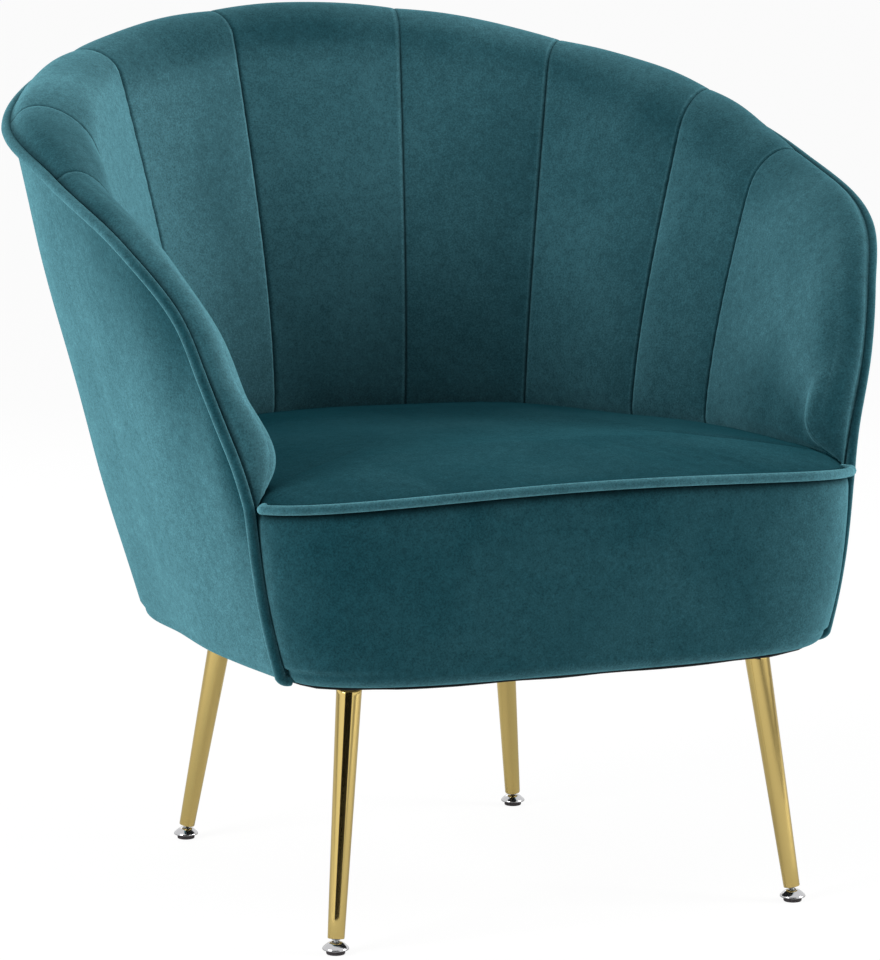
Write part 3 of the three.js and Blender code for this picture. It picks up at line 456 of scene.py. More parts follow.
def velvet_material():
    """Polyester velvet with a short dense pile. A sheen is painted into its base colour: dark where it is seen
    straight on, pale where it is seen along the surface, with soft patches where the pile was brushed one way
    or another. Each piece carries three numbers: how pale its pile lies, much of it painted light and shade;
    how dark seams, tucks and edges under the piping are painted, which is painted shade; and laid, how little
    the painted sheen shows."""
    material, tree, shader, place = new_material("teal_velvet", Roughness=0.9, Sheen_Weight=0.2,
                                                 Sheen_Roughness=0.35, IOR=1.45)
    shader.inputs["Specular IOR Level"].default_value = 0.02
    shader.inputs["Sheen Tint"].default_value = linear("#3a9aaa")
    brushed = add(tree, "ShaderNodeTexNoise", {"Vector": place, "Scale": per_mm(95), "Detail": 4.0,
                                               "Roughness": 0.6, "Distortion": 0.5}).outputs["Fac"]
    mottle = add(tree, "ShaderNodeTexNoise", {"Vector": place, "Scale": per_mm(9), "Detail": 4.0,
                                              "Roughness": 0.7}).outputs["Fac"]
    grain = add(tree, "ShaderNodeTexNoise", {"Vector": place, "Scale": per_mm(1.8), "Detail": 2.0,
                                             "Roughness": 0.8}).outputs["Fac"]
    # Painted sheen: Layer Weight facing mixes the base colour from dark teal to pale teal, and each piece's
    # painted light and shade is added on.
    facing = add(tree, "ShaderNodeLayerWeight", {"Blend": 0.5}).outputs["Facing"]
    laid = add(tree, "ShaderNodeAttribute", attribute_name="laid").outputs["Fac"]
    facing = add(tree, "ShaderNodeMath", {0: facing, 1: spread(tree, laid, 0, 1, 1.0, 0.0)},
                 operation="MULTIPLY").outputs[0]
    pile = add(tree, "ShaderNodeMath", {0: facing, 1: spread(tree, brushed, 0.3, 0.7, -0.06, 0.06)},
               operation="ADD").outputs[0]
    nap_and_painted_light = add(tree, "ShaderNodeAttribute", attribute_name="nap_and_painted_light").outputs["Fac"]
    pile = add(tree, "ShaderNodeMath", {0: pile, 1: nap_and_painted_light}, operation="ADD").outputs[0]
    pile = add(tree, "ShaderNodeMath", {0: spread(tree, pile, -0.5, 1.0), 1: 2.0},
               operation="POWER").outputs[0]
    colour = mix_colour(tree, pile, linear("#02323b"), linear("#6ba6b2"))
    tone = add(tree, "ShaderNodeMath", {0: spread(tree, mottle, 0.3, 0.7, 0.84, 1.16),
                                        1: spread(tree, grain, 0.25, 0.75, 0.62, 1.38)},
               operation="MULTIPLY").outputs[0]
    # Painted shade: seams, tucks and edges under the piping are painted up to 70 % darker.
    painted_crease_shade = add(tree, "ShaderNodeAttribute", attribute_name="painted_crease_shade").outputs["Fac"]
    tone = add(tree, "ShaderNodeMath", {0: tone, 1: spread(tree, painted_crease_shade, 0, 1, 1.0, 0.3)},
               operation="MULTIPLY").outputs[0]
    grey = add(tree, "ShaderNodeCombineColor", {"Red": tone, "Green": tone, "Blue": tone}).outputs[0]
    tree.links.new(mix_colour(tree, 1.0, colour, grey, "MULTIPLY"), shader.inputs["Base Color"])
    bump = add(tree, "ShaderNodeBump", {"Height": grain, "Strength": 0.25, "Distance": 0.4 * MM})
    bump = add(tree, "ShaderNodeBump", {"Height": mottle, "Strength": 0.2, "Distance": 0.8 * MM,
                                        "Normal": bump.outputs[0]})
    tree.links.new(bump.outputs[0], shader.inputs["Normal"])
    return material


def metal_material(name, colour, roughness, smear):
    """Plated steel: its colour comes back in every reflection, and faint smears dull it unevenly."""
    material, tree, shader, place = new_material(name, Metallic=1.0)
    shader.inputs["Base Color"].default_value = linear(colour)
    marks = add(tree, "ShaderNodeTexNoise", {"Vector": place, "Scale": per_mm(smear),
                                             "Detail": 5.0}).outputs["Fac"]
    tree.links.new(spread(tree, marks, 0.3, 0.7, roughness * 0.8, roughness * 1.3), shader.inputs["Roughness"])
    bump = add(tree, "ShaderNodeBump", {"Height": marks, "Strength": 0.04, "Distance": 0.1 * MM})
    tree.links.new(bump.outputs[0], shader.inputs["Normal"])
    return material


def wood_material(name, pale, dark, grain_mm, stretch):
    """Sawn wood: long pale and dark fibres with fine pores between them."""
    material, tree, shader, place = new_material(name, Roughness=0.62)
    along = add(tree, "ShaderNodeMapping", {"Vector": place, "Scale": stretch}).outputs[0]
    bands = add(tree, "ShaderNodeTexWave", {"Vector": along, "Scale": per_mm(grain_mm * 20), "Distortion": 6.0,
                                            "Detail": 3.0, "Detail Scale": 1.5}).outputs["Fac"]
    pores = add(tree, "ShaderNodeTexNoise", {"Vector": along, "Scale": per_mm(grain_mm),
                                             "Detail": 4.0}).outputs["Fac"]
    colour = mix_colour(tree, spread(tree, bands, 0.1, 0.9, 0.15, 0.85), linear(pale), linear(dark))
    colour = mix_colour(tree, spread(tree, pores, 0.5, 0.8, 0.0, 0.5), colour, linear(dark))
    tree.links.new(colour, shader.inputs["Base Color"])
    bump = add(tree, "ShaderNodeBump", {"Height": pores, "Strength": 0.3, "Distance": 0.2 * MM})
    tree.links.new(bump.outputs[0], shader.inputs["Normal"])
    return material


def plain_material(name, low, high, roughness, spot_mm, relief_mm, sheen=0.0):
    """A dull material whose fibres or specks vary between two near colours."""
    material, tree, shader, place = new_material(name, Roughness=roughness, Sheen_Weight=sheen)
    specks = add(tree, "ShaderNodeTexNoise", {"Vector": place, "Scale": per_mm(spot_mm), "Detail": 5.0,
                                              "Roughness": 0.7}).outputs["Fac"]
    tree.links.new(mix_colour(tree, spread(tree, specks, 0.3, 0.7), linear(low), linear(high)),
                   shader.inputs["Base Color"])
    bump = add(tree, "ShaderNodeBump", {"Height": specks, "Strength": 0.5, "Distance": relief_mm * MM})
    tree.links.new(bump.outputs[0], shader.inputs["Normal"])
    return material


velvet = velvet_material()
# Polished brass plating on steel tube: sharp warm reflections, a little smeared.
gold = metal_material("brass_plating", "#dcc27a", 0.1, 60)
# Polished nickel plating on the pressed bell: pale grey and nearly a mirror.
bell_metal = metal_material("nickel_plating", "#c4c4c6", 0.14, 8)
# Zinc plated screws: a duller, bluish grey.
zinc = metal_material("zinc_plating", "#b4b8ba", 0.3, 6)
# Oiled spring wire: dark grey with a soft gloss.
spring_wire = metal_material("oiled_spring_steel", "#565a5e", 0.42, 5)
# Steamed beech, sawn and planed: warm tan with fine grain.
beech = wood_material("sawn_beech", "#cda273", "#a9784a", 1.6, (1, 1, 0.12))
# Bent plywood: tan, with broader bands than the sawn wood.
plywood = wood_material("bent_plywood", "#c9a06c", "#9d7344", 2.2, (1, 1, 0.2))
# Moulded rubber foot: matt, not quite black.
rubber = plain_material("moulded_rubber", "#2f2a2c", "#454043", 0.85, 1.2, 0.1)
# Needled felt of mixed fibres: flecked grey, with no gloss at all.
felt = plain_material("needled_felt", "#6e6c68", "#a3a09a", 1.0, 3, 0.8, 0.3)
# Black non-woven bottom cloth: dull, with specks of pressed fibre.
dust_cloth = plain_material("non_woven_cloth", "#0e1012", "#1d2023", 0.95, 1.5, 0.3, 0.2)


# Channels of the back and the arms.

# Millimetres of padded face that one whole station covers, taken as the same all the way round.
face_run = 680
# Shares of a channel's length: the tail tucked behind the seat, and then the face below the roll.
tail_share = 0.03
face_share = 0.78
# The cloth ends this far over the roll, under the piping.
roll_reach = 0.99
# Sewn seams and tucked edges in millimetres.
half_seam_gap = 0.35
groove_depth, rolled_groove_depth, groove_width = 1.2, 0.5, 1.7
pucker_height, pucker_reach = 0.3, 8
tail_drop, tail_set_back = 14, 4
lip_depth = 3


def seam_columns(share):
    """Columns drawn closer together near the seams."""
    return (1 - np.cos(np.pi * share)) / 2


def channel_piece(name, start, end, across, puckers):
    """One sewn channel: plump in the middle, pulled down at the seams, eased over the roll."""
    centre = (start + end) / 2
    arm = 1 in (-start, end)

    def to_seam(share, length):
        """Distance to the nearest sewn seam. The front end of an arm has none."""
        free = arm & ((share < 0.5) == (start == -1))
        return np.where(free, 99, np.minimum(share, 1 - share) * length)

    def layer(u, v, w):
        share = seam_columns(u)
        tail = np.clip(1 - v / tail_share, 0, 1)
        v = np.clip((v - tail_share) / (1 - tail_share), 0, 1)
        along = np.where(v < face_share, v / face_share, 1 + roll_reach * (v - face_share) / (1 - face_share))
        reach = np.linalg.norm(soft_face_at(np.full_like(v, centre) + STEP, along)
                               - soft_face_at(np.full_like(v, centre) - STEP, along), axis=-1) / (2 * STEP)
        station = lerp(start, end, share)
        station = station + half_seam_gap / reach * (1 - 2 * share)
        place = soft_face_at(station, along)
        edge = np.abs(2 * share - 1)
        plump = channel_crown * (1 - edge ** 2.6) * lerp(1, 0.6, ease(along, 0.9, 1.4))
        gap = to_seam(share, (end - start) * reach)
        groove = lerp(groove_depth, rolled_groove_depth, ease(along, 0.9, 1.3))
        plump = plump - groove * np.exp(-(gap / groove_width) ** 2)
        wave = np.sin(along * puckers + 2 * np.sin(along * 7.3 + centre * 9))
        fold = wave * np.exp(-gap / pucker_reach - 0.6 / (gap + 0.6))
        plump = plump + pucker_height * fold * np.where(share < 0.5, 1, -1)
        plump = plump * np.where(along > 1, 1 - 0.8 * (along - 1) ** 3, 1)
        plump = plump * (0.35 + 0.65 * np.clip(along * 18, 0, 1)) * (1 - 0.8 * ease(np.abs(station), 0.9, 0.97))
        plump = plump + 0.7 * ripple(place, 130, 5) * (1 - edge ** 4)
        front = place + face_normal_at(station, along) * column(plump)
        back = channel_back_at(station, along)
        place = np.where(column(w) < 0.5, front, back)
        set_back = tail * tail_set_back * (1 - w) + lip_depth * ease(along, 1.93, 1.99)
        drop = np.stack([0 * u, 0 * u, -tail_drop * tail], -1) + outward_at(station) * column(set_back)
        return place + drop

    # Painted shade along each seam, fainter over the roll, and in the last few millimetres under the rim
    # piping.
    def painted_crease_shade(u, v):
        gap = to_seam(seam_columns(u), (end - start) * face_run)
        return (np.exp(-(gap / 1.2) ** 2) * lerp(0.8, 0.35, ease(v, 0.7, 0.85))
                + np.exp(-((1 - v) * 400 / 5) ** 2))

    def nap_and_painted_light(u, v):
        """The pile's paleness, mostly painted light and shade: pale on the left of the chair, dark over the top
        and low on the right arm, as the photograph shows it, and a painted highlight just left of each seam."""
        share = seam_columns(u)
        station = lerp(start, end, share)
        roll = ease(v, 0.7, 0.86)
        painted_seam_highlight = np.exp(-(((1 - share) * (end - start) * face_run - 2.2) / 1.0) ** 2) * (end < 1)
        inside = 0.2 + 0.54 * ease(-station, 0.05, 0.45) - 0.2 * ease(station, 0.1, 0.5)
        over = (-0.46 + 0.32 * ease(station, 0, 0.2) + 0.18 * ease(station, 0.6, 0.75)
                - 0.48 * ease(-station, 0.35, 0.5) * ease(station, -0.8, -0.66) - 0.12 * ease(v, 0.85, 1))
        low = -0.4 * ease(station, 0.58, 0.8) * ease(0.5 - v, 0, 0.4)
        return inside + roll * over + 0.2 * painted_seam_highlight + low
    return quilted(name, across, 150, layer, velvet, (name.replace("velvet_", ""),), painted_crease_shade=painted_crease_shade, nap_and_painted_light=nap_and_painted_light)


edges = [-s for s in seam_shares[::-1]] + seam_shares
channel_words = ("left_3", "left_2", "left_1", "middle", "right_1", "right_2", "right_3")
for word, start, end in zip(channel_words, edges, edges[1:]):
    channel_piece("velvet_channel_" + word, start, end, 44, 130)
channel_piece("velvet_arm_panel_left", -1, edges[0], 96, 90)
channel_piece("velvet_arm_panel_right", edges[-1], 1, 96, 90)


# Outer cover and apron.

def hem_layers(row, depth, radius, turn):
    """Reach and lift of a rolled hem: row runs from 0 at the tucked end to 1 where the cloth stands up."""
    angle = np.clip((row - 0.35) / 0.65, 0, 1) * np.pi / 2
    flat = np.clip(1 - row / 0.35, 0, 1) * turn
    reach = radius + flat - (radius - depth) * np.sin(angle)
    lift = radius - (radius - depth) * np.cos(angle)
    return reach, lift


# Shares of the height that the two rolled hems take.
cover_hem_share = 0.16
apron_hem_share = 0.24


def outer_cover_layer(u, v, w):
    station = -1 + 2 * u
    depth = w * cover_thickness
    hem = cover_hem_share
    reach, lift = hem_layers(np.clip(v / hem, 0, 1), depth, hem_radius, hem_turn)
    outward = outward_at(station)
    base = base_at(station)
    low = base - outward * column(reach) + np.stack([0 * u, 0 * u, lift], -1)
    start_rise = hem_radius / (rim_at(station)[..., 2] - cover_bottom_height)
    rise = start_rise + (1 - start_rise) * np.clip((v - hem) / (1 - hem), 0, 1)
    high = cover_at(station, rise) - outward * column(depth)
    place = np.where(column(v) < hem, low, high)
    mask = np.clip((v - hem) * 4, 0, 1) * np.clip((1 - v) * 5, 0, 1) * np.clip((1 - np.abs(station)) * 12, 0, 1)
    return place + outward * column(0.9 * ripple(place, 170, 11) * mask)


def painted_rim_shade(u, v):
    """Painted shade on the last 5 mm of about 400, under the rim piping."""
    return np.exp(-((1 - v) * 400 / 5) ** 2)


# Painted shade under the rim piping. The pile is painted a little darker, with painted shade on its upper part
# towards the front ends.
quilted("velvet_outer_cover", 300, 64, outer_cover_layer, velvet, ("outer_cover",), painted_crease_shade=painted_rim_shade,
        nap_and_painted_light=lambda u, v: -0.04 - 0.36 * ease(v, 0.6, 0.97) * ease(np.abs(2 * u - 1), 0.45, 0.75))


def apron_layer(u, v, w):
    across = apron_edge_share * (2 * u - 1)
    depth = w * apron_thickness
    hem = apron_hem_share
    reach, lift = hem_layers(np.clip(v / hem, 0, 1), depth, apron_hem_radius, apron_hem_turn)
    inward = apron_inward_at(across, np.full_like(u, cover_bottom_height))
    low = (apron_at(across, np.full_like(u, cover_bottom_height)) + inward * column(reach)
           + np.stack([0 * u, 0 * u, lift], -1))
    top = seat_welt_at(across)[..., 2] - welt_diameter / 2 - welt_gap
    bottom = cover_bottom_height + apron_hem_radius
    standing = np.clip((v - hem) / (1 - hem), 0, 1)
    height = lerp(bottom, top, standing)
    high = apron_at(across, height) + apron_inward_at(across, height) * column(depth)
    place = np.where(column(v) < hem, low, high)
    mask = np.clip((v - hem) * 5, 0, 1) * np.clip((1 - np.abs(across)) * 12, 0, 1)
    puff = 2.0 * np.sin(np.pi * standing) ** 0.7 * np.clip((1 - np.abs(across)) * 9, 0, 1)
    puff = puff + 0.8 * ripple(place, 120, 21) * mask
    puff = puff - 1.2 * np.exp(-((1 - v) * 150 / 4) ** 2)
    return place - apron_inward_at(across, height) * column(puff * (1 - w))


# Painted shade along the top under the seat piping and at both ends. The pile is painted darker, more so
# towards its left end.
quilted("velvet_front_apron", 150, 60, apron_layer, velvet, ("front_apron",),
        painted_crease_shade=lambda u, v: np.exp(-((1 - v) * 150 / 4) ** 2) + np.exp(-(np.minimum(u, 1 - u) * 640 / 6) ** 2),
        nap_and_painted_light=lambda u, v: -0.12 - 0.12 * ease(0.14 - u, 0, 0.14))


# Seat.

# Millimetres in from the edge at which the seat has its full height, and within which it is held down.
crown_run = 150
sewn_margin = 12


def seat_ring():
    """Closed outline of the seat: along the channels and back along the front edge."""
    back = seat_at(np.linspace(-1, 1, 241)) - [0, 0, seat_tuck]
    front = seat_welt_at(np.linspace(1, -1, 161)[1:-1])
    return np.vstack([back, front])


def smooth_gaps(places, ring, steps):
    """Distance in from the whole outline, without the folds of the nearest distance, and the
    outline's height as it is felt from there."""
    gaps, heights = [], []
    for place in places:
        near = ((ring[:, :2] - place) ** 2).sum(axis=1) + 4
        gaps.append(np.pi / (steps / near).sum())
        weights = steps / near ** 2
        heights.append((weights * ring[:, 2]).sum() / weights.sum())
    return np.array(gaps), np.array(heights)


def puffed(mesh, sewn, pressure, cap):
    """Fills the cloth between its sewn points by cloth simulation, and moves no point further than the cap."""
    scene = bpy.context.scene
    helper = bpy.data.objects.new("puffed_copy", mesh.copy())
    scene.collection.objects.link(helper)
    helper.vertex_groups.new(name="sewn").add([int(k) for k in np.flatnonzero(sewn)], 1.0, "REPLACE")
    cloth = helper.modifiers.new("cloth", "CLOTH")
    cloth.settings.vertex_group_mass = "sewn"
    cloth.settings.use_pressure = True
    cloth.settings.uniform_pressure_force = pressure
    cloth.settings.effector_weights.gravity = 0
    cloth.settings.quality = 4
    cloth.point_cache.frame_start, cloth.point_cache.frame_end = 1, 20
    for step in range(1, 21):
        scene.frame_set(step)
    moved = helper.evaluated_get(bpy.context.evaluated_depsgraph_get()).to_mesh()
    before, after = np.empty(len(mesh.vertices) * 3), np.empty(len(mesh.vertices) * 3)
    mesh.vertices.foreach_get("co", before)
    moved.vertices.foreach_get("co", after)
    helper.to_mesh_clear()
    move = (after - before).reshape(-1, 3)
    far = np.linalg.norm(move, axis=1)
    move *= column(np.minimum(1, cap * MM / np.maximum(far, 1e-9)))
    mesh.vertices.foreach_set("co", before + move.ravel())
    copy = helper.data
    bpy.data.objects.remove(helper)
    bpy.data.meshes.remove(copy)
    scene.frame_set(1)


def seat_piece():
    """Tight crowned seat, spun as a disc of rings and laid on the seat's outline."""
    radii = [(k / 40) ** 0.8 for k in range(41)] + [1.01, 1.02, 1.03, 1.04]
    sides = 320
    bm = bmesh.new()
    verts = [bm.verts.new((r, 0, min(0, 1 - r))) for r in radii]
    line = [bm.edges.new(pair) for pair in zip(verts, verts[1:])]
    bmesh.ops.spin(bm, geom=verts + line, cent=(0, 0, 0), axis=(0, 0, 1), angle=2 * math.pi, steps=sides,
                   use_merge=True, use_duplicate=False)
    bmesh.ops.remove_doubles(bm, verts=bm.verts, dist=1e-5)
    rim = [e for e in bm.edges if e.is_boundary]
    bmesh.ops.contextual_create(bm, geom=rim)
    mesh = mesh_from(bm, "velvet_seat")
    flat = np.empty(len(mesh.vertices) * 3)
    mesh.vertices.foreach_get("co", flat)
    x, y, _ = flat.reshape(-1, 3).T
    radius = np.hypot(x, y)
    ring = seat_ring()
    steps = np.linalg.norm(np.diff(ring, axis=0, append=ring[:1]), axis=1)
    run = np.concatenate([[0], np.cumsum(steps)])
    closed = np.vstack([ring, ring[:1]])
    turn = (np.arctan2(y, x) / (2 * np.pi)) % 1 * run[-1]
    edge = np.stack([np.interp(turn, run, closed[:, k]) for k in range(3)], -1)
    centre = np.array([0, (seat_back_reach - front_reach) / 2])
    out = edge[:, :2] - centre
    reach = np.linalg.norm(out, axis=1)
    way = out / column(reach)
    place = np.empty_like(edge)
    bottom = seat_edge_height - seat_depth_thickness
    share = np.minimum(radius, 1)
    place[:, :2] = centre + way * column((reach - seat_gap) * share)
    crown = seat_edge_height + seat_crown
    gaps, edge_height = smooth_gaps(place[:, :2], ring, steps)
    place[:, 2] = lerp(edge_height, crown, 1 - np.clip(1 - gaps / crown_run, 0, 1) ** 2.8)
    place[:, 2] += 0.9 * ripple(place, 150, 31) * ease(gaps, 0, 60)
    for low, inset, height in ((1.005, 5, edge[:, 2] - 7), (1.015, seat_draw_in, edge[:, 2] - 12),
                               (1.025, 24, lerp(edge[:, 2], bottom, 0.6)), (1.035, seat_foot_inset, bottom)):
        under = radius > low
        place[under, :2] = (centre + way * column(reach - inset))[under]
        place[under, 2] = (height + 0 * reach)[under]
    mesh.vertices.foreach_set("co", to_frame(place).ravel())
    outwards(mesh)
    puffed(mesh, (gaps < sewn_margin) | (radius > 1), 4.0, 4)
    # Painted shade in a narrow band along the seat's edge, and the pile painted darker towards the back and
    # near the edges, which is painted shade; laid holds off most of the painted sheen.
    paint(mesh, "painted_crease_shade", np.exp(-(gaps / 5) ** 2))
    paint(mesh, "laid", np.full(len(place), 0.9))
    paint(mesh, "nap_and_painted_light", -0.05 - 0.24 * np.clip(place[:, 1] / 200, -0.2, 1) - 0.12 * np.exp(-gaps / 40))
    piece = finish_piece("velvet_seat", mesh, velvet, "chair", ("seat_cushion",))


seat_piece()


# Piping.

def cover_normal_at(station, rise):
    along = cover_at(station + STEP, rise) - cover_at(station - STEP, rise)
    upward = cover_at(station, rise + STEP) - cover_at(station, rise - STEP)
    return unit(np.cross(upward, along))


def rim_welt_places():
    """The cord up one front corner, round the rim and down the other, turned in under the hem."""
    rises = np.linspace(0.055, 1, 40)[:-1]
    station = np.concatenate([np.full(39, -1.0), np.linspace(-1, 1, 241), np.full(39, 1.0)])
    rise = np.concatenate([rises, np.ones(241), rises[::-1]])
    outward = outward_at(station)
    away = (welt_diameter / 2 + welt_gap) / np.sum(outward * cover_normal_at(station, rise), -1)
    line = cover_at(station, rise) + outward * column(away)
    turn = column(np.linspace(0.2, 1, 6) * np.pi / 2)
    ends = [place - way * 11 * (1 - np.cos(turn)) - [0, 0, 6] * np.sin(turn)
            for place, way in ((line[0], outward[0]), (line[-1], outward[-1]))]
    return np.vstack([ends[0][::-1], line, ends[1]])


# The rim piping's pile is painted a little darker.
swept("velvet_rim_piping", rim_welt_places(), welt_diameter + 1, velvet, ("rim_welt",), nap_and_painted_light=-0.08)


def seat_welt_places():
    """The cord over the front, with both ends tucked into the seam between the arm and the seat."""
    across = np.linspace(-0.915, 0.915, 121)
    place = seat_welt_at(across)
    line = place - apron_inward_at(across, place[:, 2]) * (welt_diameter / 2 + fit_gap - seat_gap)
    return np.vstack([line[0] + [6, 8, 0], line, line[-1] + [-6, 8, 0]])


# Painted highlight: the seat piping's pile is painted paler along its whole length.
swept("velvet_seat_piping", seat_welt_places(), welt_diameter, velvet, ("seat_welt",), nap_and_painted_light=0.14)


# Legs and glides.

leg_tip_height = 14
leg_tip_radius = 7.75
leg_top_radius = 12
ball_height = 8.7
frame_bottom = cover_bottom_height + cover_thickness + fit_gap
# Directions up the left legs. The right legs mirror them.
leans = {"front": (0.113912, 0.119731, 0.98625), "rear": (0.132889, -0.148079, 0.980007)}
for word in LEG_WORDS:
    end, side = word.split("_")
    low, high = (Vector(corner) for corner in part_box("glide_pad_" + word))
    lean = leans[end]
    axis = Vector((lean[0] if side == "left" else -lean[0], lean[1], lean[2])).normalized()
    foot = Vector(((low.x + high.x) / 2, (low.y + high.y) / 2, 0))
    ball = foot + Vector((0, 0, ball_height * MM))
    tip = (leg_tip_height - ball_height) / axis.z
    top = (frame_bottom - fit_gap - ball_height) / axis.z
    grow = (leg_top_radius - leg_tip_radius) / (top - tip)
    tube = [(0, tip + 26), (4.35, tip + 26), (4.35, tip + 0.2), (leg_tip_radius - 0.9, tip),
            (leg_tip_radius - 0.25, tip + 0.25), (leg_tip_radius, tip + 0.9)]
    tube += [(leg_tip_radius + grow * (top - tip) * k / 12, tip + (top - tip) * k / 12) for k in range(1, 13)]
    tube += [(leg_top_radius + grow * 24, top + 24), (0, top + 24)]
    leg = turned("brass_leg_" + word, tube, ball, axis, gold, "chair", ("leg_" + word,))
    bm = bmesh.new()
    bm.from_mesh(leg.data)
    bmesh.ops.bisect_plane(bm, geom=bm.verts[:] + bm.edges[:] + bm.faces[:],
                           plane_co=(0, 0, (frame_bottom - fit_gap) * MM), plane_no=(0, 0, 1), clear_outer=True)
    bmesh.ops.holes_fill(bm, edges=[e for e in bm.edges if e.is_boundary], sides=0)
    bm.to_mesh(leg.data)
    bm.free()
    bell = [(5.4, 5.25), (5.4, 4.4), (11, 4.4), (11.8, 4.55), (12.2, 5.1), (12.15, 5.8), (11.6, 6.7),
            (10.4, 7.9), (8.8, 9.3), (7.4, 10.4), (6.2, 11.1), (4.6, 11.6), (3.6, 11.5), (3.1, 11.1),
            (3.2, 10.4), (3.45, 9.2), (3.45, 5.6)]
    turned("bell_" + word, bell, foot, Vector((0, 0, 1)), bell_metal, "glide_foot_" + word,
           ("glide_bell_" + word,), 56)
    pad = [(0, 0), (7.2, 0), (8.1, 0.25), (8.6, 0.9), (8.7, 1.6), (8.7, 4.15), (0, 4.15)]
    turned("rubber_pad_" + word, pad, foot, Vector((0, 0, 1)), rubber, "glide_foot_" + word,
           ("glide_pad_" + word,), 48)
    stud = [(0, -3.1)] + [(3.1 * math.sin(a), -3.1 * math.cos(a)) for a in np.linspace(0.2, 2.44, 14)]
    stud += [(2, 4.3), (3.6, 4.3), (4, 4.7), (4, tip + 25.2), (3.4, tip + 25.9), (0, tip + 25.9)]
    turned("screw_" + word, stud, ball, axis, zinc, "glide_stud_" + word, ("glide_stud_" + word,), 40)


# Cloth and felt inside.

def cloth_copy(name, node, material, length, depth):
    """A copy of a flat CAD sheet, cut finer and given the slack of real cloth."""
    bm = bmesh.new()
    bm.from_mesh(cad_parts[node].data)
    bmesh.ops.remove_doubles(bm, verts=bm.verts, dist=0.01 * MM)
    bmesh.ops.subdivide_edges(bm, edges=[e for e in bm.edges if e.calc_length() > 30 * MM], cuts=3,
                              use_grid_fill=True)
    mesh = mesh_from(bm, name)
    flat = np.empty(len(mesh.vertices) * 3)
    mesh.vertices.foreach_get("co", flat)
    places = flat.reshape(-1, 3)
    places[:, 2] += depth * MM * (ripple(places / MM, length, 41) - 1) / 2
    mesh.vertices.foreach_set("co", places.ravel())
    return finish_piece(name, mesh, material, "chair", (node,))


dust = cloth_copy("bottom_cloth", "dust_cover", dust_cloth, 90, 1.2)
felt_pad = cloth_copy("felt_pad", "spring_felt", felt, 60, 0.6)


# Carried-over frame parts.

finishes = {"rail": beech, "post": beech, "block": beech, "board": plywood, "bolt": zinc, "nut": zinc,
            "spring": spring_wire}
replaced = {"spring_felt", "dust_cover"}
for name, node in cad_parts.items():
    words = name.split("_")
    finish = next((m for key, m in finishes.items() if key in words), None)
    if finish and name not in replaced:
        node.data.materials.clear()
        node.data.materials.append(finish)


# Floor, lights and camera.

def studio():
    """Plain pale floor, which stays white to the camera and keeps a soft shadow."""
    bm = bmesh.new()
    bmesh.ops.create_grid(bm, x_segments=1, y_segments=1, size=60)
    floor = bpy.data.objects.new("floor", mesh_from(bm, "floor"))
    bpy.context.scene.collection.objects.link(floor)
    floor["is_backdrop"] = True
    material = bpy.data.materials.new("white_floor")
    material.use_nodes = True
    tree = material.node_tree
    tree.nodes.clear()
    seen = add(tree, "ShaderNodeLightPath").outputs["Is Camera Ray"]
    share = spread(tree, seen, 0, 1, 0.0, 0.86)
    matt = add(tree, "ShaderNodeBsdfDiffuse", {"Color": (0.9, 0.9, 0.9, 1)}).outputs[0]
    glow = add(tree, "ShaderNodeEmission", {"Color": (1, 1, 1, 1), "Strength": 1.07}).outputs[0]
    mixed = add(tree, "ShaderNodeMixShader", {0: share, 1: matt, 2: glow}).outputs[0]
    add(tree, "ShaderNodeOutputMaterial", {"Surface": mixed})
    floor.data.materials.append(material)
    world = bpy.data.worlds.new("studio")
    bpy.context.scene.world = world
    world.use_nodes = True
    tree = world.node_tree
    tree.nodes.clear()
    path = add(tree, "ShaderNodeLightPath").outputs
    direct = add(tree, "ShaderNodeMath", {0: path["Is Camera Ray"], 1: path["Is Transmission Ray"]},
                 operation="MAXIMUM").outputs[0]
    direct = add(tree, "ShaderNodeMath", {0: direct, 1: path["Is Glossy Ray"]}, operation="MAXIMUM").outputs[0]
    strength = spread(tree, direct, 0, 1, 0.34, 1.0)
    glow = add(tree, "ShaderNodeBackground", {"Color": (1, 1, 1, 1), "Strength": strength}).outputs[0]
    add(tree, "ShaderNodeOutputWorld", {"Surface": glow})


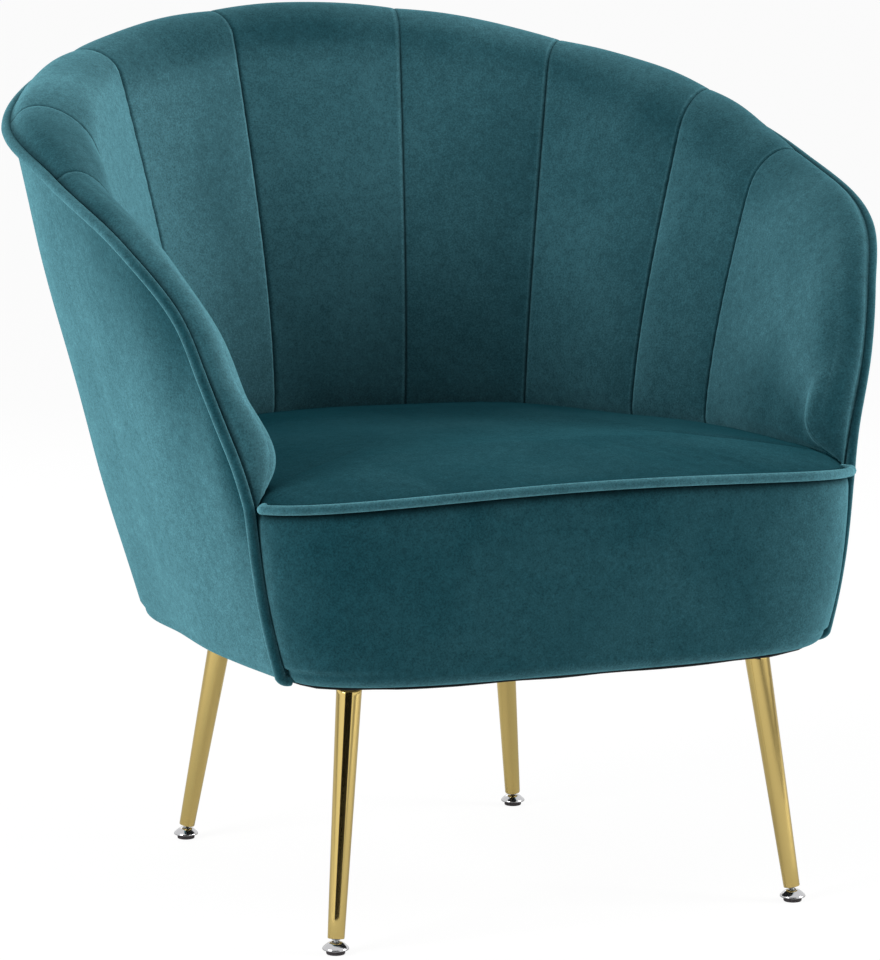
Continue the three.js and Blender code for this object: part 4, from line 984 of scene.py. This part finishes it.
def softbox(name, place, aim, size, power):
    light = bpy.data.lights.new(name, "AREA")
    light.shape = "RECTANGLE"
    light.size, light.size_y = size
    light.energy = power
    lamp = bpy.data.objects.new(name, light)
    lamp.location = place
    lamp.rotation_euler = (Vector(aim) - Vector(place)).to_track_quat("-Z", "Y").to_euler()
    bpy.context.scene.collection.objects.link(lamp)


def dark_screen():
    """A black screen behind the camera, seen only in the polished legs."""
    bm = bmesh.new()
    bmesh.ops.create_grid(bm, x_segments=1, y_segments=1, size=0.5)
    bmesh.ops.scale(bm, vec=(7, 5, 1), verts=bm.verts)
    screen = bpy.data.objects.new("dark_screen", mesh_from(bm, "dark_screen"))
    bpy.context.scene.collection.objects.link(screen)
    screen.location = (-2.6, -5.4, 1.2)
    screen.rotation_euler = (math.pi / 2, 0, math.radians(-25))
    screen.visible_camera = screen.visible_diffuse = screen.visible_shadow = False
    screen.data.materials.append(plain_material("black_felt", "#050505", "#0a0a0a", 1.0, 20, 1))
    screen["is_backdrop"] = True


studio()
dark_screen()
softbox("key_light", (-3.2, -0.9, 1.7), (0, 0, 0.45), (1.6, 1.6), 78)
softbox("fill_light", (2.9, -1.9, 1.6), (0, 0, 0.4), (1.4, 1.8), 62)
softbox("back_light", (0.6, 2.8, 2.0), (0, 0, 0.6), (1.6, 1.2), 14)

# The photograph's camera, found from its pairs of left and right points.
image_height = 960
focal_pixels = 4300
sensor_height = 36
camera = bpy.data.objects.new("camera", bpy.data.cameras.new("camera"))
bpy.context.scene.collection.objects.link(camera)
azimuth, elevation = math.radians(-25.228), math.radians(8.080)
forward = Vector((-math.sin(azimuth) * math.cos(elevation), math.cos(azimuth) * math.cos(elevation),
                  -math.sin(elevation)))
right = Vector((math.cos(azimuth), math.sin(azimuth), 0))
camera.matrix_world = Matrix.Translation((-1.7647, -3.7472 + plan_shift, 0.9695)) @ Matrix(
    (right, right.cross(forward), -forward)).transposed().to_4x4()
camera.data.sensor_fit = "VERTICAL"
camera.data.sensor_height = sensor_height
camera.data.lens = focal_pixels / image_height * sensor_height
camera.data.clip_end = 200
bpy.context.scene.camera = camera
bpy.context.scene.view_settings.view_transform = "Standard"

low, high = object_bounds()
